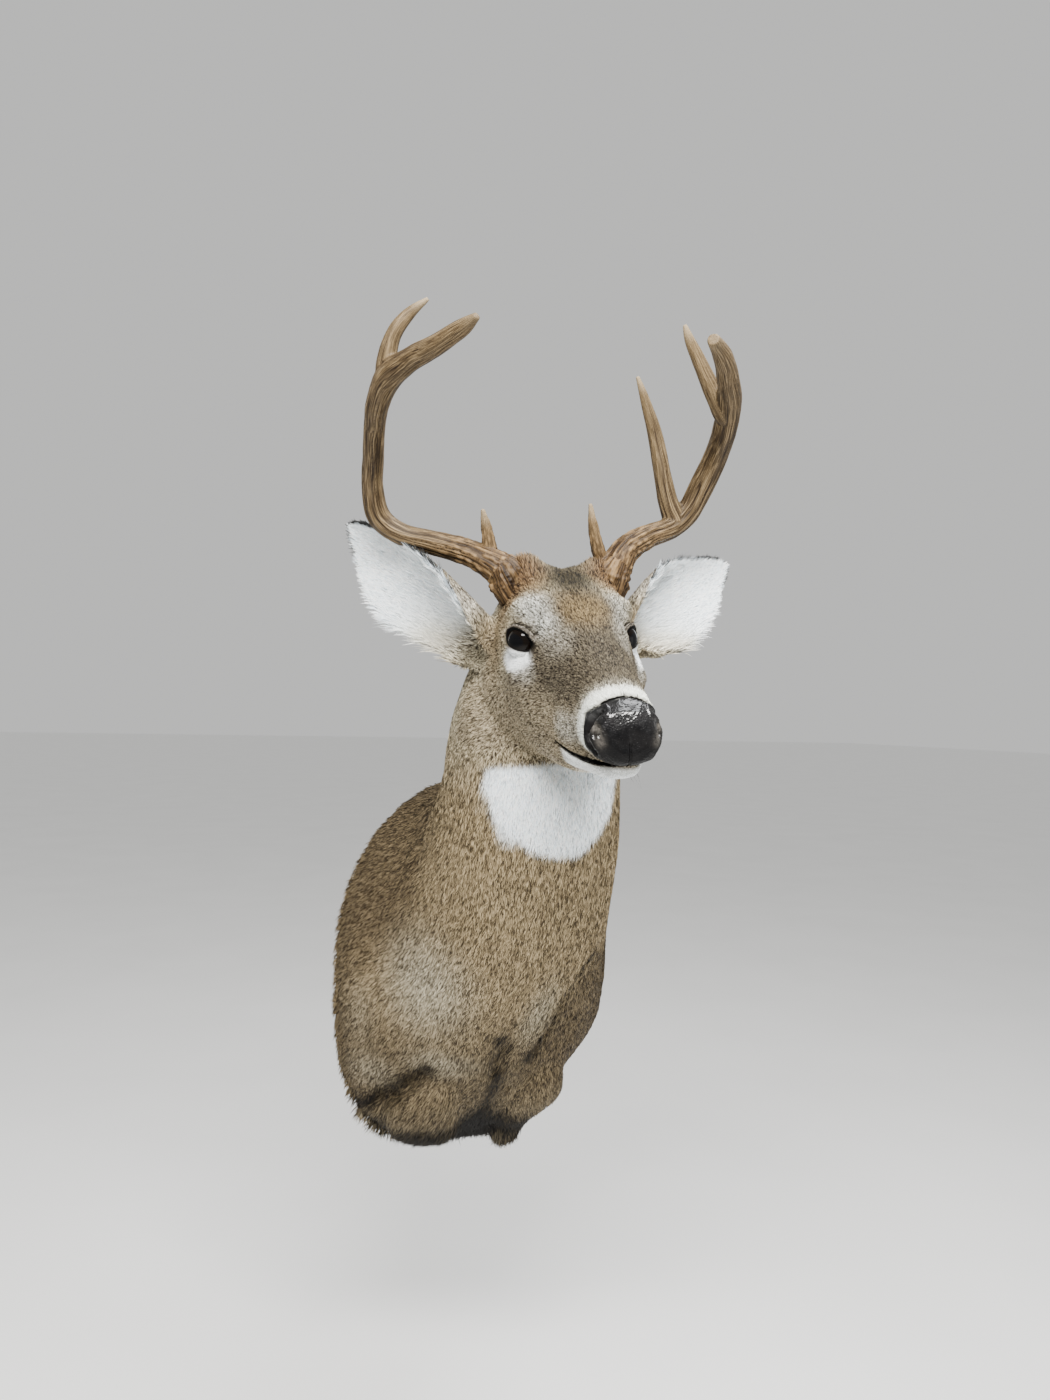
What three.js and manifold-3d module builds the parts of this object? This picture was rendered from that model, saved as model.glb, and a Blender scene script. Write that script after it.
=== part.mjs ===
// Whitetail buck shoulder mount on its backboard, life size, millimetres.
// Wall plane is y = 0, the animal looks toward -y, +x is its own left, +z is up.
import * as THREE from 'three';
import { mergeVertices } from 'three/addons/utils/BufferGeometryUtils.js';
import Module from 'manifold-3d';

// ---- driving sizes ----
const GAP = 0.3;
const BODY_HALF_WIDTH = 183;
const BODY_TOP = 228;
const BODY_BOTTOM = -208;
const BOARD_THICKNESS = 12;
const BOARD_INSET = 10;
const HANGER_WIDTH = 60;
const HANGER_HEIGHT = 22;
const HANGER_THICKNESS = 2;
const HANGER_Z = 150;
const HEAD_PLACE = [-60, -333, 369];
const HEAD_TURN_DEG = -16.3;
const HEAD_NOD_DEG = 9.5;
const HEAD_TILT_DEG = 3;
const EYE_RADIUS = 19;
const EYE_FORWARD = 2;
const RIGHT_EYE_OUT = 43.5;
const LEFT_EYE_OUT = 38.5;
const EYE_UP = 2;
const EAR_THICKNESS = 3.2;
const BODY_SIDES = 32;
const HEAD_SIDES = 32;
const ANTLER_SIDES = 10;

const wasm = await Module();
wasm.setup();
const { Manifold, Mesh } = wasm;

const mount = new THREE.Group();
mount.name = 'whitetail_shoulder_mount';
const headFrame = new THREE.Group();
headFrame.name = 'head_frame';

function material(color, roughness) {
  return new THREE.MeshStandardMaterial({ color, roughness, metalness: 0 });
}

const coat = material(0x8a7558, 0.9);
const muzzle = material(0x17130f, 0.35);
const horn = material(0x8a6a44, 0.55);
const glass = material(0x120b07, 0.08);
const board = material(0xc69c62, 0.7);
const steel = new THREE.MeshStandardMaterial({ color: 0xb8bcc0, roughness: 0.4, metalness: 0.9 });

// ---- closed bodies from rings ----
function facesOut(geometry) {
  const p = geometry.attributes.position;
  const index = geometry.index.array;
  let volume = 0;
  for (let i = 0; i < index.length; i += 3) {
    const a = new THREE.Vector3().fromBufferAttribute(p, index[i]);
    const b = new THREE.Vector3().fromBufferAttribute(p, index[i + 1]);
    const c = new THREE.Vector3().fromBufferAttribute(p, index[i + 2]);
    volume += a.dot(b.cross(c));
  }
  if (volume < 0) {
    for (let i = 0; i < index.length; i += 3) {
      const keep = index[i];
      index[i] = index[i + 1];
      index[i + 1] = keep;
    }
  }
  return geometry;
}

function geometryOf(points, faces) {
  const geometry = new THREE.BufferGeometry();
  const flat = points.flatMap((q) => [q.x, q.y, q.z]);
  geometry.setAttribute('position', new THREE.Float32BufferAttribute(flat, 3));
  geometry.setIndex(faces);
  return facesOut(geometry);
}

function middleOf(ring) {
  const sum = new THREE.Vector3();
  ring.forEach((q) => sum.add(q));
  return sum.divideScalar(ring.length);
}

// Joins a row of rings, each end closed by a fan round its middle.
function skinOver(rings) {
  const points = rings.flat();
  const n = rings[0].length;
  const faces = [];
  for (let r = 0; r + 1 < rings.length; r += 1) {
    for (let i = 0; i < n; i += 1) {
      const a = r * n + i;
      const b = r * n + ((i + 1) % n);
      faces.push(a, b, b + n, a, b + n, a + n);
    }
  }
  const first = points.length;
  points.push(middleOf(rings[0]));
  const last = points.length;
  points.push(middleOf(rings[rings.length - 1]));
  const end = (rings.length - 1) * n;
  for (let i = 0; i < n; i += 1) {
    const next = (i + 1) % n;
    faces.push(first, next, i);
    faces.push(last, end + i, end + next);
  }
  return geometryOf(points, faces);
}

// ---- booleans ----
function solidOf(geometry) {
  const plain = geometry.clone();
  plain.deleteAttribute('normal');
  plain.deleteAttribute('uv');
  const merged = mergeVertices(plain, 1e-4);
  const vertProperties = new Float32Array(merged.attributes.position.array);
  const triVerts = new Uint32Array(merged.index.array);
  return new Manifold(new Mesh({ numProp: 3, vertProperties, triVerts }));
}

function geometryFrom(solid) {
  const mesh = solid.getMesh();
  const geometry = new THREE.BufferGeometry();
  const position = new THREE.Float32BufferAttribute(mesh.vertProperties, 3);
  geometry.setAttribute('position', position);
  geometry.setIndex(Array.from(mesh.triVerts));
  return geometry;
}

function largestPiece(solid) {
  const pieces = solid.decompose();
  pieces.sort((a, b) => b.volume() - a.volume());
  return pieces[0];
}

function carve(geometry, cutters) {
  let solid = solidOf(geometry);
  cutters.forEach((cutter) => {
    solid = solid.subtract(solidOf(cutter));
  });
  return geometryFrom(largestPiece(solid));
}

// ---- curves and rings ----
// Smooth row of stations: every number in a station follows its own curve.
function smoothRow(stations, steps) {
  const row = [];
  const spans = stations.length - 1;
  for (let k = 0; k <= spans * steps; k += 1) {
    const span = Math.min(Math.floor(k / steps), spans - 1);
    const t = k / steps - span;
    const before = stations[Math.max(span - 1, 0)];
    const from = stations[span];
    const to = stations[span + 1];
    const after = stations[Math.min(span + 2, spans)];
    row.push(from.map((value, i) => {
      const slopeFrom = (to[i] - before[i]) / 2;
      const slopeTo = (after[i] - value) / 2;
      const t2 = t * t;
      const t3 = t2 * t;
      return (2 * t3 - 3 * t2 + 1) * value + (t3 - 2 * t2 + t) * slopeFrom
        + (3 * t2 - 2 * t3) * to[i] + (t3 - t2) * slopeTo;
    }));
  }
  return row;
}

function bent(value, power) {
  return Math.sign(value) * Math.abs(value) ** (2 / power);
}

// One ring across the body: top and bottom points, widest at a level between them.
function bodyRing(top, bottom, sideways, shape, sides) {
  const { halfWidth, level, topSquare, lowSquare } = shape;
  const ring = [];
  for (let i = 0; i < sides; i += 1) {
    const angle = (2 * Math.PI * i) / sides;
    const upper = Math.cos(angle) >= 0;
    const power = upper ? topSquare : lowSquare;
    const rise = bent(Math.cos(angle), power);
    const height = level + rise * (upper ? 1 - level : level);
    const reach = halfWidth * bent(Math.sin(angle), power);
    const point = bottom.clone().lerp(top, height);
    ring.push(point.addScaledVector(sideways, reach));
  }
  return ring;
}

// Raises or sinks a soft round patch of the surface.
function swell(point, centre, radius, push) {
  const away = point.distanceTo(centre) / radius;
  return point.addScaledVector(push, Math.exp(-away * away));
}

// ---- head, in its own frame: x its left, -y forward, z up ----
// Station: top forward, top up, bottom forward, bottom up, half width, level, squareness.
const HEAD_STATIONS = [
  [-122, 34, -22, -110, 80, 0.50, 2.1, 2.1],
  [-100, 54, -6, -110, 74, 0.53, 2.2, 2.1],
  [-74, 61, 12, -112, 65, 0.57, 2.4, 2.1],
  [-47, 61, 30, -112, 60, 0.60, 2.5, 2.1],
  [-20, 57, 47, -110, 57, 0.62, 2.5, 2.1],
  [6, 48, 63, -107, 51, 0.62, 2.5, 2.2],
  [34, 36, 79, -102, 43, 0.60, 2.4, 2.4],
  [64, 24, 95, -94, 37, 0.54, 2.3, 2.7],
  [95, 12, 112, -84, 34, 0.47, 2.3, 2.9],
  [124, 0, 134, -75, 30, 0.44, 2.3, 3.0],
  [150, -11, 160, -73, 28, 0.42, 2.3, 2.9],
  [174, -22, 181, -73, 27, 0.40, 2.4, 2.7],
];
const NOSE_STATIONS = [
  [174, -22, 181, -73, 27, 0.40, 2.4, 2.7],
  [180, -25, 186, -72, 25.5, 0.44, 2.4, 2.5],
  [187, -31, 191, -69, 21.5, 0.48, 2.3, 2.3],
  [191, -40, 193, -62, 13, 0.50, 2.2, 2.2],
];
const JAW_STATIONS = [
  [172, -76, 172, -81, 9, 0.5, 2.2, 2.2],
  [166, -74, 166, -87, 15, 0.5, 2.3, 2.3],
  [148, -73, 148, -90, 22, 0.6, 2.4, 2.3],
  [120, -72, 120, -93, 27, 0.6, 2.5, 2.3],
  [92, -70, 92, -97, 31, 0.6, 2.5, 2.3],
  [62, -78, 62, -99, 29, 0.6, 2.5, 2.2],
];

function headPoint(forward, side, up) {
  return new THREE.Vector3(side, -forward, up);
}

function stationRing(station, grow, sides) {
  const [topForward, topUp, bottomForward, bottomUp, halfWidth, level, topSquare, lowSquare] = station;
  const top = headPoint(topForward, 0, topUp);
  const bottom = headPoint(bottomForward, 0, bottomUp);
  const along = top.clone().sub(bottom).normalize();
  top.addScaledVector(along, grow);
  bottom.addScaledVector(along, -grow);
  const shape = { halfWidth: halfWidth + grow, level, topSquare, lowSquare };
  return bodyRing(top, bottom, new THREE.Vector3(1, 0, 0), shape, sides);
}

// Brow ridges stand out over the eyes, the cheek sinks in front of them.
function faceShape(point) {
  [-1, 1].forEach((side) => {
    swell(point, headPoint(-6, side * 52, 26), 17, headPoint(0, side * 8, 3));
    swell(point, headPoint(-28, side * 58, 4), 18, headPoint(0, side * 6, 0));
    swell(point, headPoint(17, side * 50, 2), 15, headPoint(0, -side * 7, 0));
    swell(point, headPoint(22, side * 46, -28), 18, headPoint(0, side * 9, 0));
    swell(point, headPoint(-8, side * 44, -46), 34, headPoint(0, side * 6, 0));
    swell(point, headPoint(-62, side * 40, 56), 23, headPoint(0, 0, side < 0 ? 27 : 21));
  });
  return point;
}

function shiftedAlong(ring, distance) {
  const middle = middleOf(ring);
  const a = ring[0].clone().sub(middle);
  const b = ring[Math.floor(ring.length / 4)].clone().sub(middle);
  const normal = a.cross(b).normalize();
  return ring.map((q) => q.clone().addScaledVector(normal, distance));
}

function headGeometry(grow) {
  const rings = smoothRow(HEAD_STATIONS, 2).map((station) => stationRing(station, grow, HEAD_SIDES));
  rings[0] = shiftedAlong(rings[0], grow > 0 ? grow : 0);
  rings.forEach((ring, i) => {
    if (i > 0) {
      ring.forEach(faceShape);
    }
  });
  return skinOver(rings);
}

function ball(radius, centre) {
  const geometry = new THREE.SphereGeometry(radius, 16, 10);
  geometry.translate(centre.x, centre.y, centre.z);
  return geometry;
}

function add(parent, name, geometry, finish) {
  const mesh = new THREE.Mesh(geometry, finish);
  mesh.name = name;
  parent.add(mesh);
  return mesh;
}

const eyeCentres = [-RIGHT_EYE_OUT, LEFT_EYE_OUT].map((side) => headPoint(EYE_FORWARD, side, EYE_UP));
const eyeSockets = eyeCentres.map((centre) => ball(EYE_RADIUS + GAP, centre));
const headCutter = headGeometry(GAP);
add(headFrame, 'head', carve(headGeometry(0), eyeSockets), coat);
add(headFrame, 'eye_right', ball(EYE_RADIUS, eyeCentres[0]), glass);
add(headFrame, 'eye_left', ball(EYE_RADIUS, eyeCentres[1]), glass);

function noseGeometry() {
  const rings = smoothRow(NOSE_STATIONS, 1).map((station) => stationRing(station, 0, HEAD_SIDES));
  const lift = Math.sign(rings[0][0].y - rings[1][0].y);
  rings[0] = rings[0].map((q) => q.clone().add(new THREE.Vector3(0, -GAP * lift, 0)));
  return skinOver(rings);
}

function nostrilCutter(side) {
  const geometry = new THREE.SphereGeometry(6, 8, 7);
  geometry.scale(0.85, 0.7, 1.3);
  const place = headPoint(183, side * 22.5, -46);
  geometry.translate(place.x, place.y, place.z);
  return geometry;
}

add(headFrame, 'nose', carve(noseGeometry(), [nostrilCutter(-1), nostrilCutter(1)]), muzzle);

function jawGeometry() {
  const rings = smoothRow(JAW_STATIONS, 2).map((station) => stationRing(station, 0, 12));
  return skinOver(rings);
}

add(headFrame, 'lower_jaw', carve(jawGeometry(), [headCutter]), coat);

// ---- ears: cupped leaves, rolled into a tube at the root ----
// Along the ear: share of length, rolled radius, then the roll in degrees of the
// front edge, of the left ear's lower edge and of the right ear's lower edge.
const EAR_PROFILE = [
  [0.00, 23, 158, 146, 134],
  [0.12, 33, 127, 103, 92],
  [0.26, 41, 98, 79, 63],
  [0.40, 47, 75, 59, 60],
  [0.55, 48, 60, 50, 66],
  [0.70, 46, 48, 42, 58],
  [0.84, 41, 37, 26, 42],
  [0.94, 34, 25, 17, 22],
  [1.00, 26, 7, 5, 5],
];

function earGeometry(root, tip, facing, lift) {
  const along = tip.clone().sub(root);
  const axis = along.clone().normalize();
  const across = new THREE.Vector3().crossVectors(axis, facing).normalize();
  const open = new THREE.Vector3().crossVectors(across, axis).normalize();
  const steps = 10;
  const points = [];
  const rows = smoothRow(EAR_PROFILE, 1);
  const frontSide = Math.sign(across.z);
  rows.forEach(([share, radius, frontRoll, leftRoll, rightRoll]) => {
    const lowRoll = root.x > 0 ? leftRoll : rightRoll;
    const spine = root.clone().addScaledVector(along, share);
    spine.addScaledVector(open, 10 * share * share);
    spine.addScaledVector(across, lift * share * share);
    [0, EAR_THICKNESS].forEach((inward) => {
      for (let i = 0; i <= steps; i += 1) {
        const roll = (frontRoll + lowRoll) * (i / steps) - lowRoll;
        const angle = THREE.MathUtils.degToRad(roll) * frontSide;
        const r = radius - inward;
        const point = spine.clone();
        point.addScaledVector(open, radius - r * Math.cos(angle));
        point.addScaledVector(across, r * Math.sin(angle));
        points.push(point);
      }
    });
  });
  const n = steps + 1;
  const faces = [];
  const quad = (a, b, c, d) => faces.push(a, b, c, a, c, d);
  for (let r = 0; r + 1 < rows.length; r += 1) {
    const o = r * 2 * n;
    const p = o + 2 * n;
    for (let i = 0; i < steps; i += 1) {
      quad(o + i, o + i + 1, p + i + 1, p + i);
      quad(o + n + i + 1, o + n + i, p + n + i, p + n + i + 1);
    }
    quad(o + n, o, p, p + n);
    quad(o + steps, o + n + steps, p + n + steps, p + steps);
  }
  const z = (rows.length - 1) * 2 * n;
  for (let i = 0; i < steps; i += 1) {
    quad(i + 1, i, n + i, n + i + 1);
    quad(z + i, z + i + 1, z + n + i + 1, z + n + i);
  }
  return geometryOf(points, faces);
}

// ---- antlers: station is forward, side, up, radius ----
function antlerRings(stations, steps, grow) {
  const row = smoothRow(stations, steps);
  const centres = row.map(([forward, side, up]) => headPoint(forward, side, up));
  let across = new THREE.Vector3(1, 0, 0);
  return row.map((station, k) => {
    const from = centres[Math.max(k - 1, 0)];
    const to = centres[Math.min(k + 1, centres.length - 1)];
    const tangent = to.clone().sub(from).normalize();
    across = across.clone().addScaledVector(tangent, -across.dot(tangent)).normalize();
    const other = new THREE.Vector3().crossVectors(tangent, across);
    const ring = [];
    for (let i = 0; i < ANTLER_SIDES; i += 1) {
      const angle = (2 * Math.PI * i) / ANTLER_SIDES;
      const point = centres[k].clone();
      point.addScaledVector(across, (station[3] + grow) * Math.cos(angle));
      point.addScaledVector(other, (station[3] + grow) * Math.sin(angle));
      ring.push(point);
    }
    return ring;
  });
}

function antlerWhole(stations, grow) {
  return skinOver(antlerRings(stations, 2, grow));
}

// A length of beam between two stations, its lower end drawn back by the gap.
function antlerLength(stations, first, last) {
  const rings = antlerRings(stations, 2, 0).slice(first * 2, last * 2 + 1);
  const step = middleOf(rings[1]).sub(middleOf(rings[0])).normalize();
  if (first > 0) {
    rings[0] = rings[0].map((q) => q.clone().addScaledVector(step, GAP));
  }
  return skinOver(rings);
}

const RIGHT_BEAM = [
  [-58, -42, 38, 19], [-60, -50, 56, 21], [-62, -57, 64, 17], [-75, -86, 80, 13.5], [-88, -118, 89, 12],
  [-98, -150, 98, 11.5], [-100, -171, 114, 11.5], [-90, -177, 142, 10.5], [-70, -176, 168, 10],
  [-45, -175, 193, 10], [-20, -172, 211, 10.5], [2, -163, 229, 12], [26, -145, 240, 10],
  [50, -127, 247, 8.5], [75, -109, 256, 7], [90, -99, 262, 3],
];
const RIGHT_BROW = [[-66, -66, 66, 8], [-67, -68, 84, 7], [-64, -72, 104, 5], [-60, -76, 121, 2]];
const RIGHT_TINE = [
  [-4, -170, 228, 7], [3, -165, 246, 7], [4, -159, 262, 6.5], [6, -146, 279, 5], [10, -130, 291, 2],
];
const LEFT_BEAM = [
  [-58, 42, 38, 19], [-60, 48, 56, 21], [-62, 53, 64, 17], [-70, 66, 83, 14], [-80, 90, 96, 12],
  [-90, 117, 105, 11.5], [-92, 135, 120, 12], [-85, 148, 148, 12.5], [-70, 155, 174, 12],
  [-45, 154, 197, 11.5], [-20, 148, 220, 11.5], [10, 134, 237, 10], [35, 119, 250, 8.5], [58, 102, 258, 5.5],
];
const LEFT_BROW = [[-66, 44, 66, 8], [-64, 38, 80, 7], [-60, 31, 104, 5], [-58, 27, 127, 2]];
const LEFT_G2 = [
  [-92, 122, 112, 8.5], [-92, 113, 132, 8.5], [-95, 102, 191, 7], [-93, 90, 226, 4.5], [-90, 80, 250, 2],
];
const LEFT_G3 = [
  [-28, 142, 205, 7], [-26, 136, 218, 7], [-25, 121, 252, 5.5], [-22, 109, 272, 4], [-20, 103, 285, 2],
];

const rightBeamCutter = antlerWhole(RIGHT_BEAM, GAP);
const leftBeamCutter = antlerWhole(LEFT_BEAM, GAP);
const rightFacing = headPoint(1, -0.2, -0.48);
const leftFacing = headPoint(1, 0.1, 0.2);
const earRight = earGeometry(headPoint(-86, -56, -8), headPoint(-150, -199, 95), rightFacing, 17);
const earLeft = earGeometry(headPoint(-86, 58, -12), headPoint(-160, 201, 55), leftFacing, -8);
const browRight = antlerWhole(RIGHT_BROW, 0);
const browLeft = antlerWhole(LEFT_BROW, 0);
add(headFrame, 'antler_right_base', carve(antlerLength(RIGHT_BEAM, 0, 4), [headCutter]), horn);
add(headFrame, 'antler_right_brow_tine', carve(browRight, [rightBeamCutter, headCutter]), horn);
add(headFrame, 'antler_right_beam', antlerLength(RIGHT_BEAM, 4, 11), horn);
add(headFrame, 'antler_right_beam_end', antlerLength(RIGHT_BEAM, 11, 15), horn);
add(headFrame, 'antler_right_rear_tine', carve(antlerWhole(RIGHT_TINE, 0), [rightBeamCutter]), horn);
add(headFrame, 'antler_left_base', carve(antlerLength(LEFT_BEAM, 0, 4), [headCutter]), horn);
add(headFrame, 'antler_left_brow_tine', carve(browLeft, [leftBeamCutter, headCutter]), horn);
add(headFrame, 'antler_left_beam_lower', antlerLength(LEFT_BEAM, 4, 7), horn);
add(headFrame, 'antler_left_second_tine', carve(antlerWhole(LEFT_G2, 0), [leftBeamCutter]), horn);
add(headFrame, 'antler_left_beam_upper', antlerLength(LEFT_BEAM, 7, 10), horn);
add(headFrame, 'antler_left_third_tine', carve(antlerWhole(LEFT_G3, 0), [leftBeamCutter]), horn);
add(headFrame, 'antler_left_beam_end', antlerLength(LEFT_BEAM, 10, 13), horn);

headFrame.position.set(...HEAD_PLACE);
headFrame.rotation.order = 'ZXY';
headFrame.rotation.z = THREE.MathUtils.degToRad(HEAD_TURN_DEG);
headFrame.rotation.x = THREE.MathUtils.degToRad(HEAD_NOD_DEG);
headFrame.rotation.y = THREE.MathUtils.degToRad(-HEAD_TILT_DEG);
headFrame.updateMatrixWorld(true);
mount.add(headFrame);

// ---- trunk and neck: top x y z, bottom x y z, half width, level, squareness ----
const BODY_STATIONS = [
  [0, 0, BODY_TOP, 0, 0, BODY_BOTTOM, BODY_HALF_WIDTH - 3, 0.5, 2.1, 3.0],
  [-6, -22, 232, -4, -40, -188, 161, 0.5, 2.1, 2.6],
  [-6, -44, 236, -10, -112, -128, 138, 0.5, 2.1, 2.5],
  [-9, -62, 243, -20, -184, -40, 116, 0.5, 2.1, 2.4],
  [-11, -76, 260, -30, -244, 50, 104, 0.5, 2.1, 2.3],
  [-12, -88, 289, -37, -281, 128, 99, 0.5, 2.1, 2.2],
];
const NECK_STATIONS = [
  [-12, -88, 289, -37, -281, 128, 99, 0.5, 2.1, 2.2],
  [-19, -108, 330, -42, -299, 185, 94, 0.5, 2.1, 2.1],
  [-25, -154, 376, -48, -303, 232, 87, 0.5, 2.1, 2.1],
];

function shoulderShape(point) {
  [-1, 1].forEach((side) => {
    swell(point, new THREE.Vector3(side * 125, -50, -70), 66, new THREE.Vector3(side * 4, -14, 0));
  });
  return point;
}

function trunkRing(station, grow) {
  const top = new THREE.Vector3(...station.slice(0, 3));
  const bottom = new THREE.Vector3(...station.slice(3, 6));
  const along = top.clone().sub(bottom).normalize();
  top.addScaledVector(along, grow);
  bottom.addScaledVector(along, -grow);
  const [halfWidth, level, topSquare, lowSquare] = station.slice(6);
  const shape = { halfWidth: halfWidth + grow, level, topSquare, lowSquare };
  const ring = bodyRing(top, bottom, new THREE.Vector3(1, 0, 0), shape, BODY_SIDES);
  ring.forEach((q) => swell(q, new THREE.Vector3(150, q.y, -165), 75, new THREE.Vector3(-42, 0, 10)));
  return ring;
}

// The back outline, drawn in toward its middle and set at a given depth from the wall.
function backOutline(inset, depth) {
  const ring = trunkRing(BODY_STATIONS[0], -inset);
  return ring.map((q) => new THREE.Vector3(q.x, -depth, q.z));
}

function trunkGeometry(grow) {
  const outer = smoothRow(BODY_STATIONS, 3).map((station) => trunkRing(station, grow));
  outer.forEach((ring, i) => {
    if (i > 0 && i + 1 < outer.length) {
      ring.forEach(shoulderShape);
    }
  });
  if (grow > 0) {
    return skinOver(outer);
  }
  const rim = [backOutline(BOARD_INSET, BOARD_THICKNESS + GAP), backOutline(BOARD_INSET, 0)];
  return skinOver([...rim, ...outer]);
}

function boardGeometry() {
  const inset = BOARD_INSET + GAP;
  const slab = skinOver([backOutline(inset, 0), backOutline(inset, BOARD_THICKNESS)]);
  const pocketDepth = 2 * (HANGER_THICKNESS + GAP);
  const pocket = new THREE.BoxGeometry(HANGER_WIDTH + 2 * GAP, pocketDepth, HANGER_HEIGHT + 2 * GAP);
  pocket.translate(0, 0, HANGER_Z);
  const nailHole = new THREE.CylinderGeometry(7, 7, 14, 20);
  nailHole.translate(0, 0, HANGER_Z);
  return carve(slab, [pocket, nailHole]);
}

function hangerGeometry() {
  const plate = new THREE.BoxGeometry(HANGER_WIDTH, HANGER_THICKNESS, HANGER_HEIGHT);
  plate.translate(0, -HANGER_THICKNESS / 2, HANGER_Z);
  const slot = new THREE.CylinderGeometry(4, 4, 3 * HANGER_THICKNESS, 20);
  slot.translate(0, -HANGER_THICKNESS / 2, HANGER_Z);
  return carve(plate, [slot]);
}

function neckGeometry(grow) {
  const first = trunkRing(NECK_STATIONS[0], grow);
  const rings = smoothRow(NECK_STATIONS, 3).map((station) => trunkRing(station, grow));
  rings[0] = shiftedAlong(first, -GAP);
  const ending = stationRing(HEAD_STATIONS[0], grow, BODY_SIDES);
  const shifted = shiftedAlong(ending, GAP);
  const placed = shifted.map((q) => q.clone().applyMatrix4(headFrame.matrixWorld));
  return skinOver([...rings, placed]);
}

// Rounded stumps of the forelegs: middle x y z, half width, half depth, top to bottom.
const RIGHT_STUMP = [
  [-80, -88, -92, 30, 26],
  [-86, -78, -118, 43, 40],
  [-86, -64, -144, 46, 41],
  [-82, -52, -166, 44, 35],
  [-76, -44, -181, 37, 27],
  [-72, -38, -194, 10, 9],
];
const LEFT_STUMP = [
  [28, -104, -80, 30, 34],
  [27, -98, -105, 40, 40],
  [31, -86, -128, 43, 42],
  [32, -76, -146, 39, 38],
  [25, -62, -164, 29, 31],
  [26, -43, -184, 20, 25],
  [24, -38, -200, 16, 19],
  [21, -36, -210, 7, 9],
];

function stumpGeometry(stations) {
  const rings = smoothRow(stations, 2).map(([x, y, z, across, deep]) => {
    const ring = [];
    for (let i = 0; i < 13; i += 1) {
      const angle = (2 * Math.PI * i) / 13;
      ring.push(new THREE.Vector3(x + across * Math.cos(angle), y + deep * Math.sin(angle), z));
    }
    return ring;
  });
  return skinOver(rings);
}

const trunkCutter = trunkGeometry(GAP);
const neckCutter = neckGeometry(GAP).applyMatrix4(headFrame.matrixWorld.clone().invert());
add(headFrame, 'ear_right', carve(earRight, [headCutter, neckCutter, rightBeamCutter]), coat);
add(headFrame, 'ear_left', carve(earLeft, [headCutter, neckCutter, leftBeamCutter]), coat);
add(mount, 'trunk', trunkGeometry(0), coat);
add(mount, 'neck', neckGeometry(0), coat);
add(mount, 'leg_stump_right', carve(stumpGeometry(RIGHT_STUMP), [trunkCutter]), coat);
add(mount, 'leg_stump_left', carve(stumpGeometry(LEFT_STUMP), [trunkCutter]), coat);
add(mount, 'backboard', boardGeometry(), board);
add(mount, 'hanger_plate', hangerGeometry(), steel);

export default mount;
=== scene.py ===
"""A whitetail buck shoulder mount on its backboard, in metres, +Z up.

The board's back lies on the wall at y = 0, and the animal looks toward -y and to its own right.
One skin runs over head, neck, shoulders and leg stumps; short hair covers it in solid tufts.
The head has a frame of its own: forward along the muzzle, side to the animal's left, and up.
"""
import math

import bpy
import numpy as np
from mathutils import Euler, Matrix, Vector


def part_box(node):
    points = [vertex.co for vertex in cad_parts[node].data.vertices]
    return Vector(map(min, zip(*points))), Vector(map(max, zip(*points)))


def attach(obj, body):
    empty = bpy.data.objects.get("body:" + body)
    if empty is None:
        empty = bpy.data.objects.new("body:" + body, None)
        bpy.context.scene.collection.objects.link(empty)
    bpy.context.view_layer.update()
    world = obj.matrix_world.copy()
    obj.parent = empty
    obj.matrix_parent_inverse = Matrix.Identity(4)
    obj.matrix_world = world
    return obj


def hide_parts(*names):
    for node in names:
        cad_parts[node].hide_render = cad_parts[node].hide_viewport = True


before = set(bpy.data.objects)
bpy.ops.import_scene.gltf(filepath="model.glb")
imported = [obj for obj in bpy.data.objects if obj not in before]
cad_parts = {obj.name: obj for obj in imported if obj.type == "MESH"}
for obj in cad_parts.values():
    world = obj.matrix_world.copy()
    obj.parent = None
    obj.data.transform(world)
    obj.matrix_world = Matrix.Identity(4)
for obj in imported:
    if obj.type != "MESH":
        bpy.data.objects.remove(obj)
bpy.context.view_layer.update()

MM = 0.001
BODY = "root"

# ---------------------------------------------------------------- the head's own frame

HEAD_PLACE = Vector((-0.060, -0.333, 0.369))
HEAD_TURN = math.radians(-16.3)
HEAD_NOD = math.radians(9.5)
HEAD_TILT = math.radians(3.0)
HEAD_MATRIX = np.array(Euler((HEAD_NOD, -HEAD_TILT, HEAD_TURN), "YXZ").to_matrix())

EYE_RADIUS = 19 * MM
SOCKET_REACH = 36 * MM
EYE_FORWARD, EYE_UP = 2.0, 2.0
EYE_OUT = {-1: 43.5, 1: 38.5}
BOTH_SIDES = (-1, 1)

FLESH_NODES = ["trunk", "neck", "head", "lower_jaw", "nose", "leg_stump_right", "leg_stump_left",
               "eye_right", "eye_left"]
EAR_NODES = ["ear_right", "ear_left"]
ANTLER_RIGHT_NODES = ["antler_right_base", "antler_right_brow_tine", "antler_right_beam",
                      "antler_right_beam_end", "antler_right_rear_tine"]
ANTLER_LEFT_NODES = ["antler_left_base", "antler_left_brow_tine", "antler_left_beam_lower",
                     "antler_left_second_tine", "antler_left_beam_upper", "antler_left_third_tine",
                     "antler_left_beam_end"]

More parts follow.
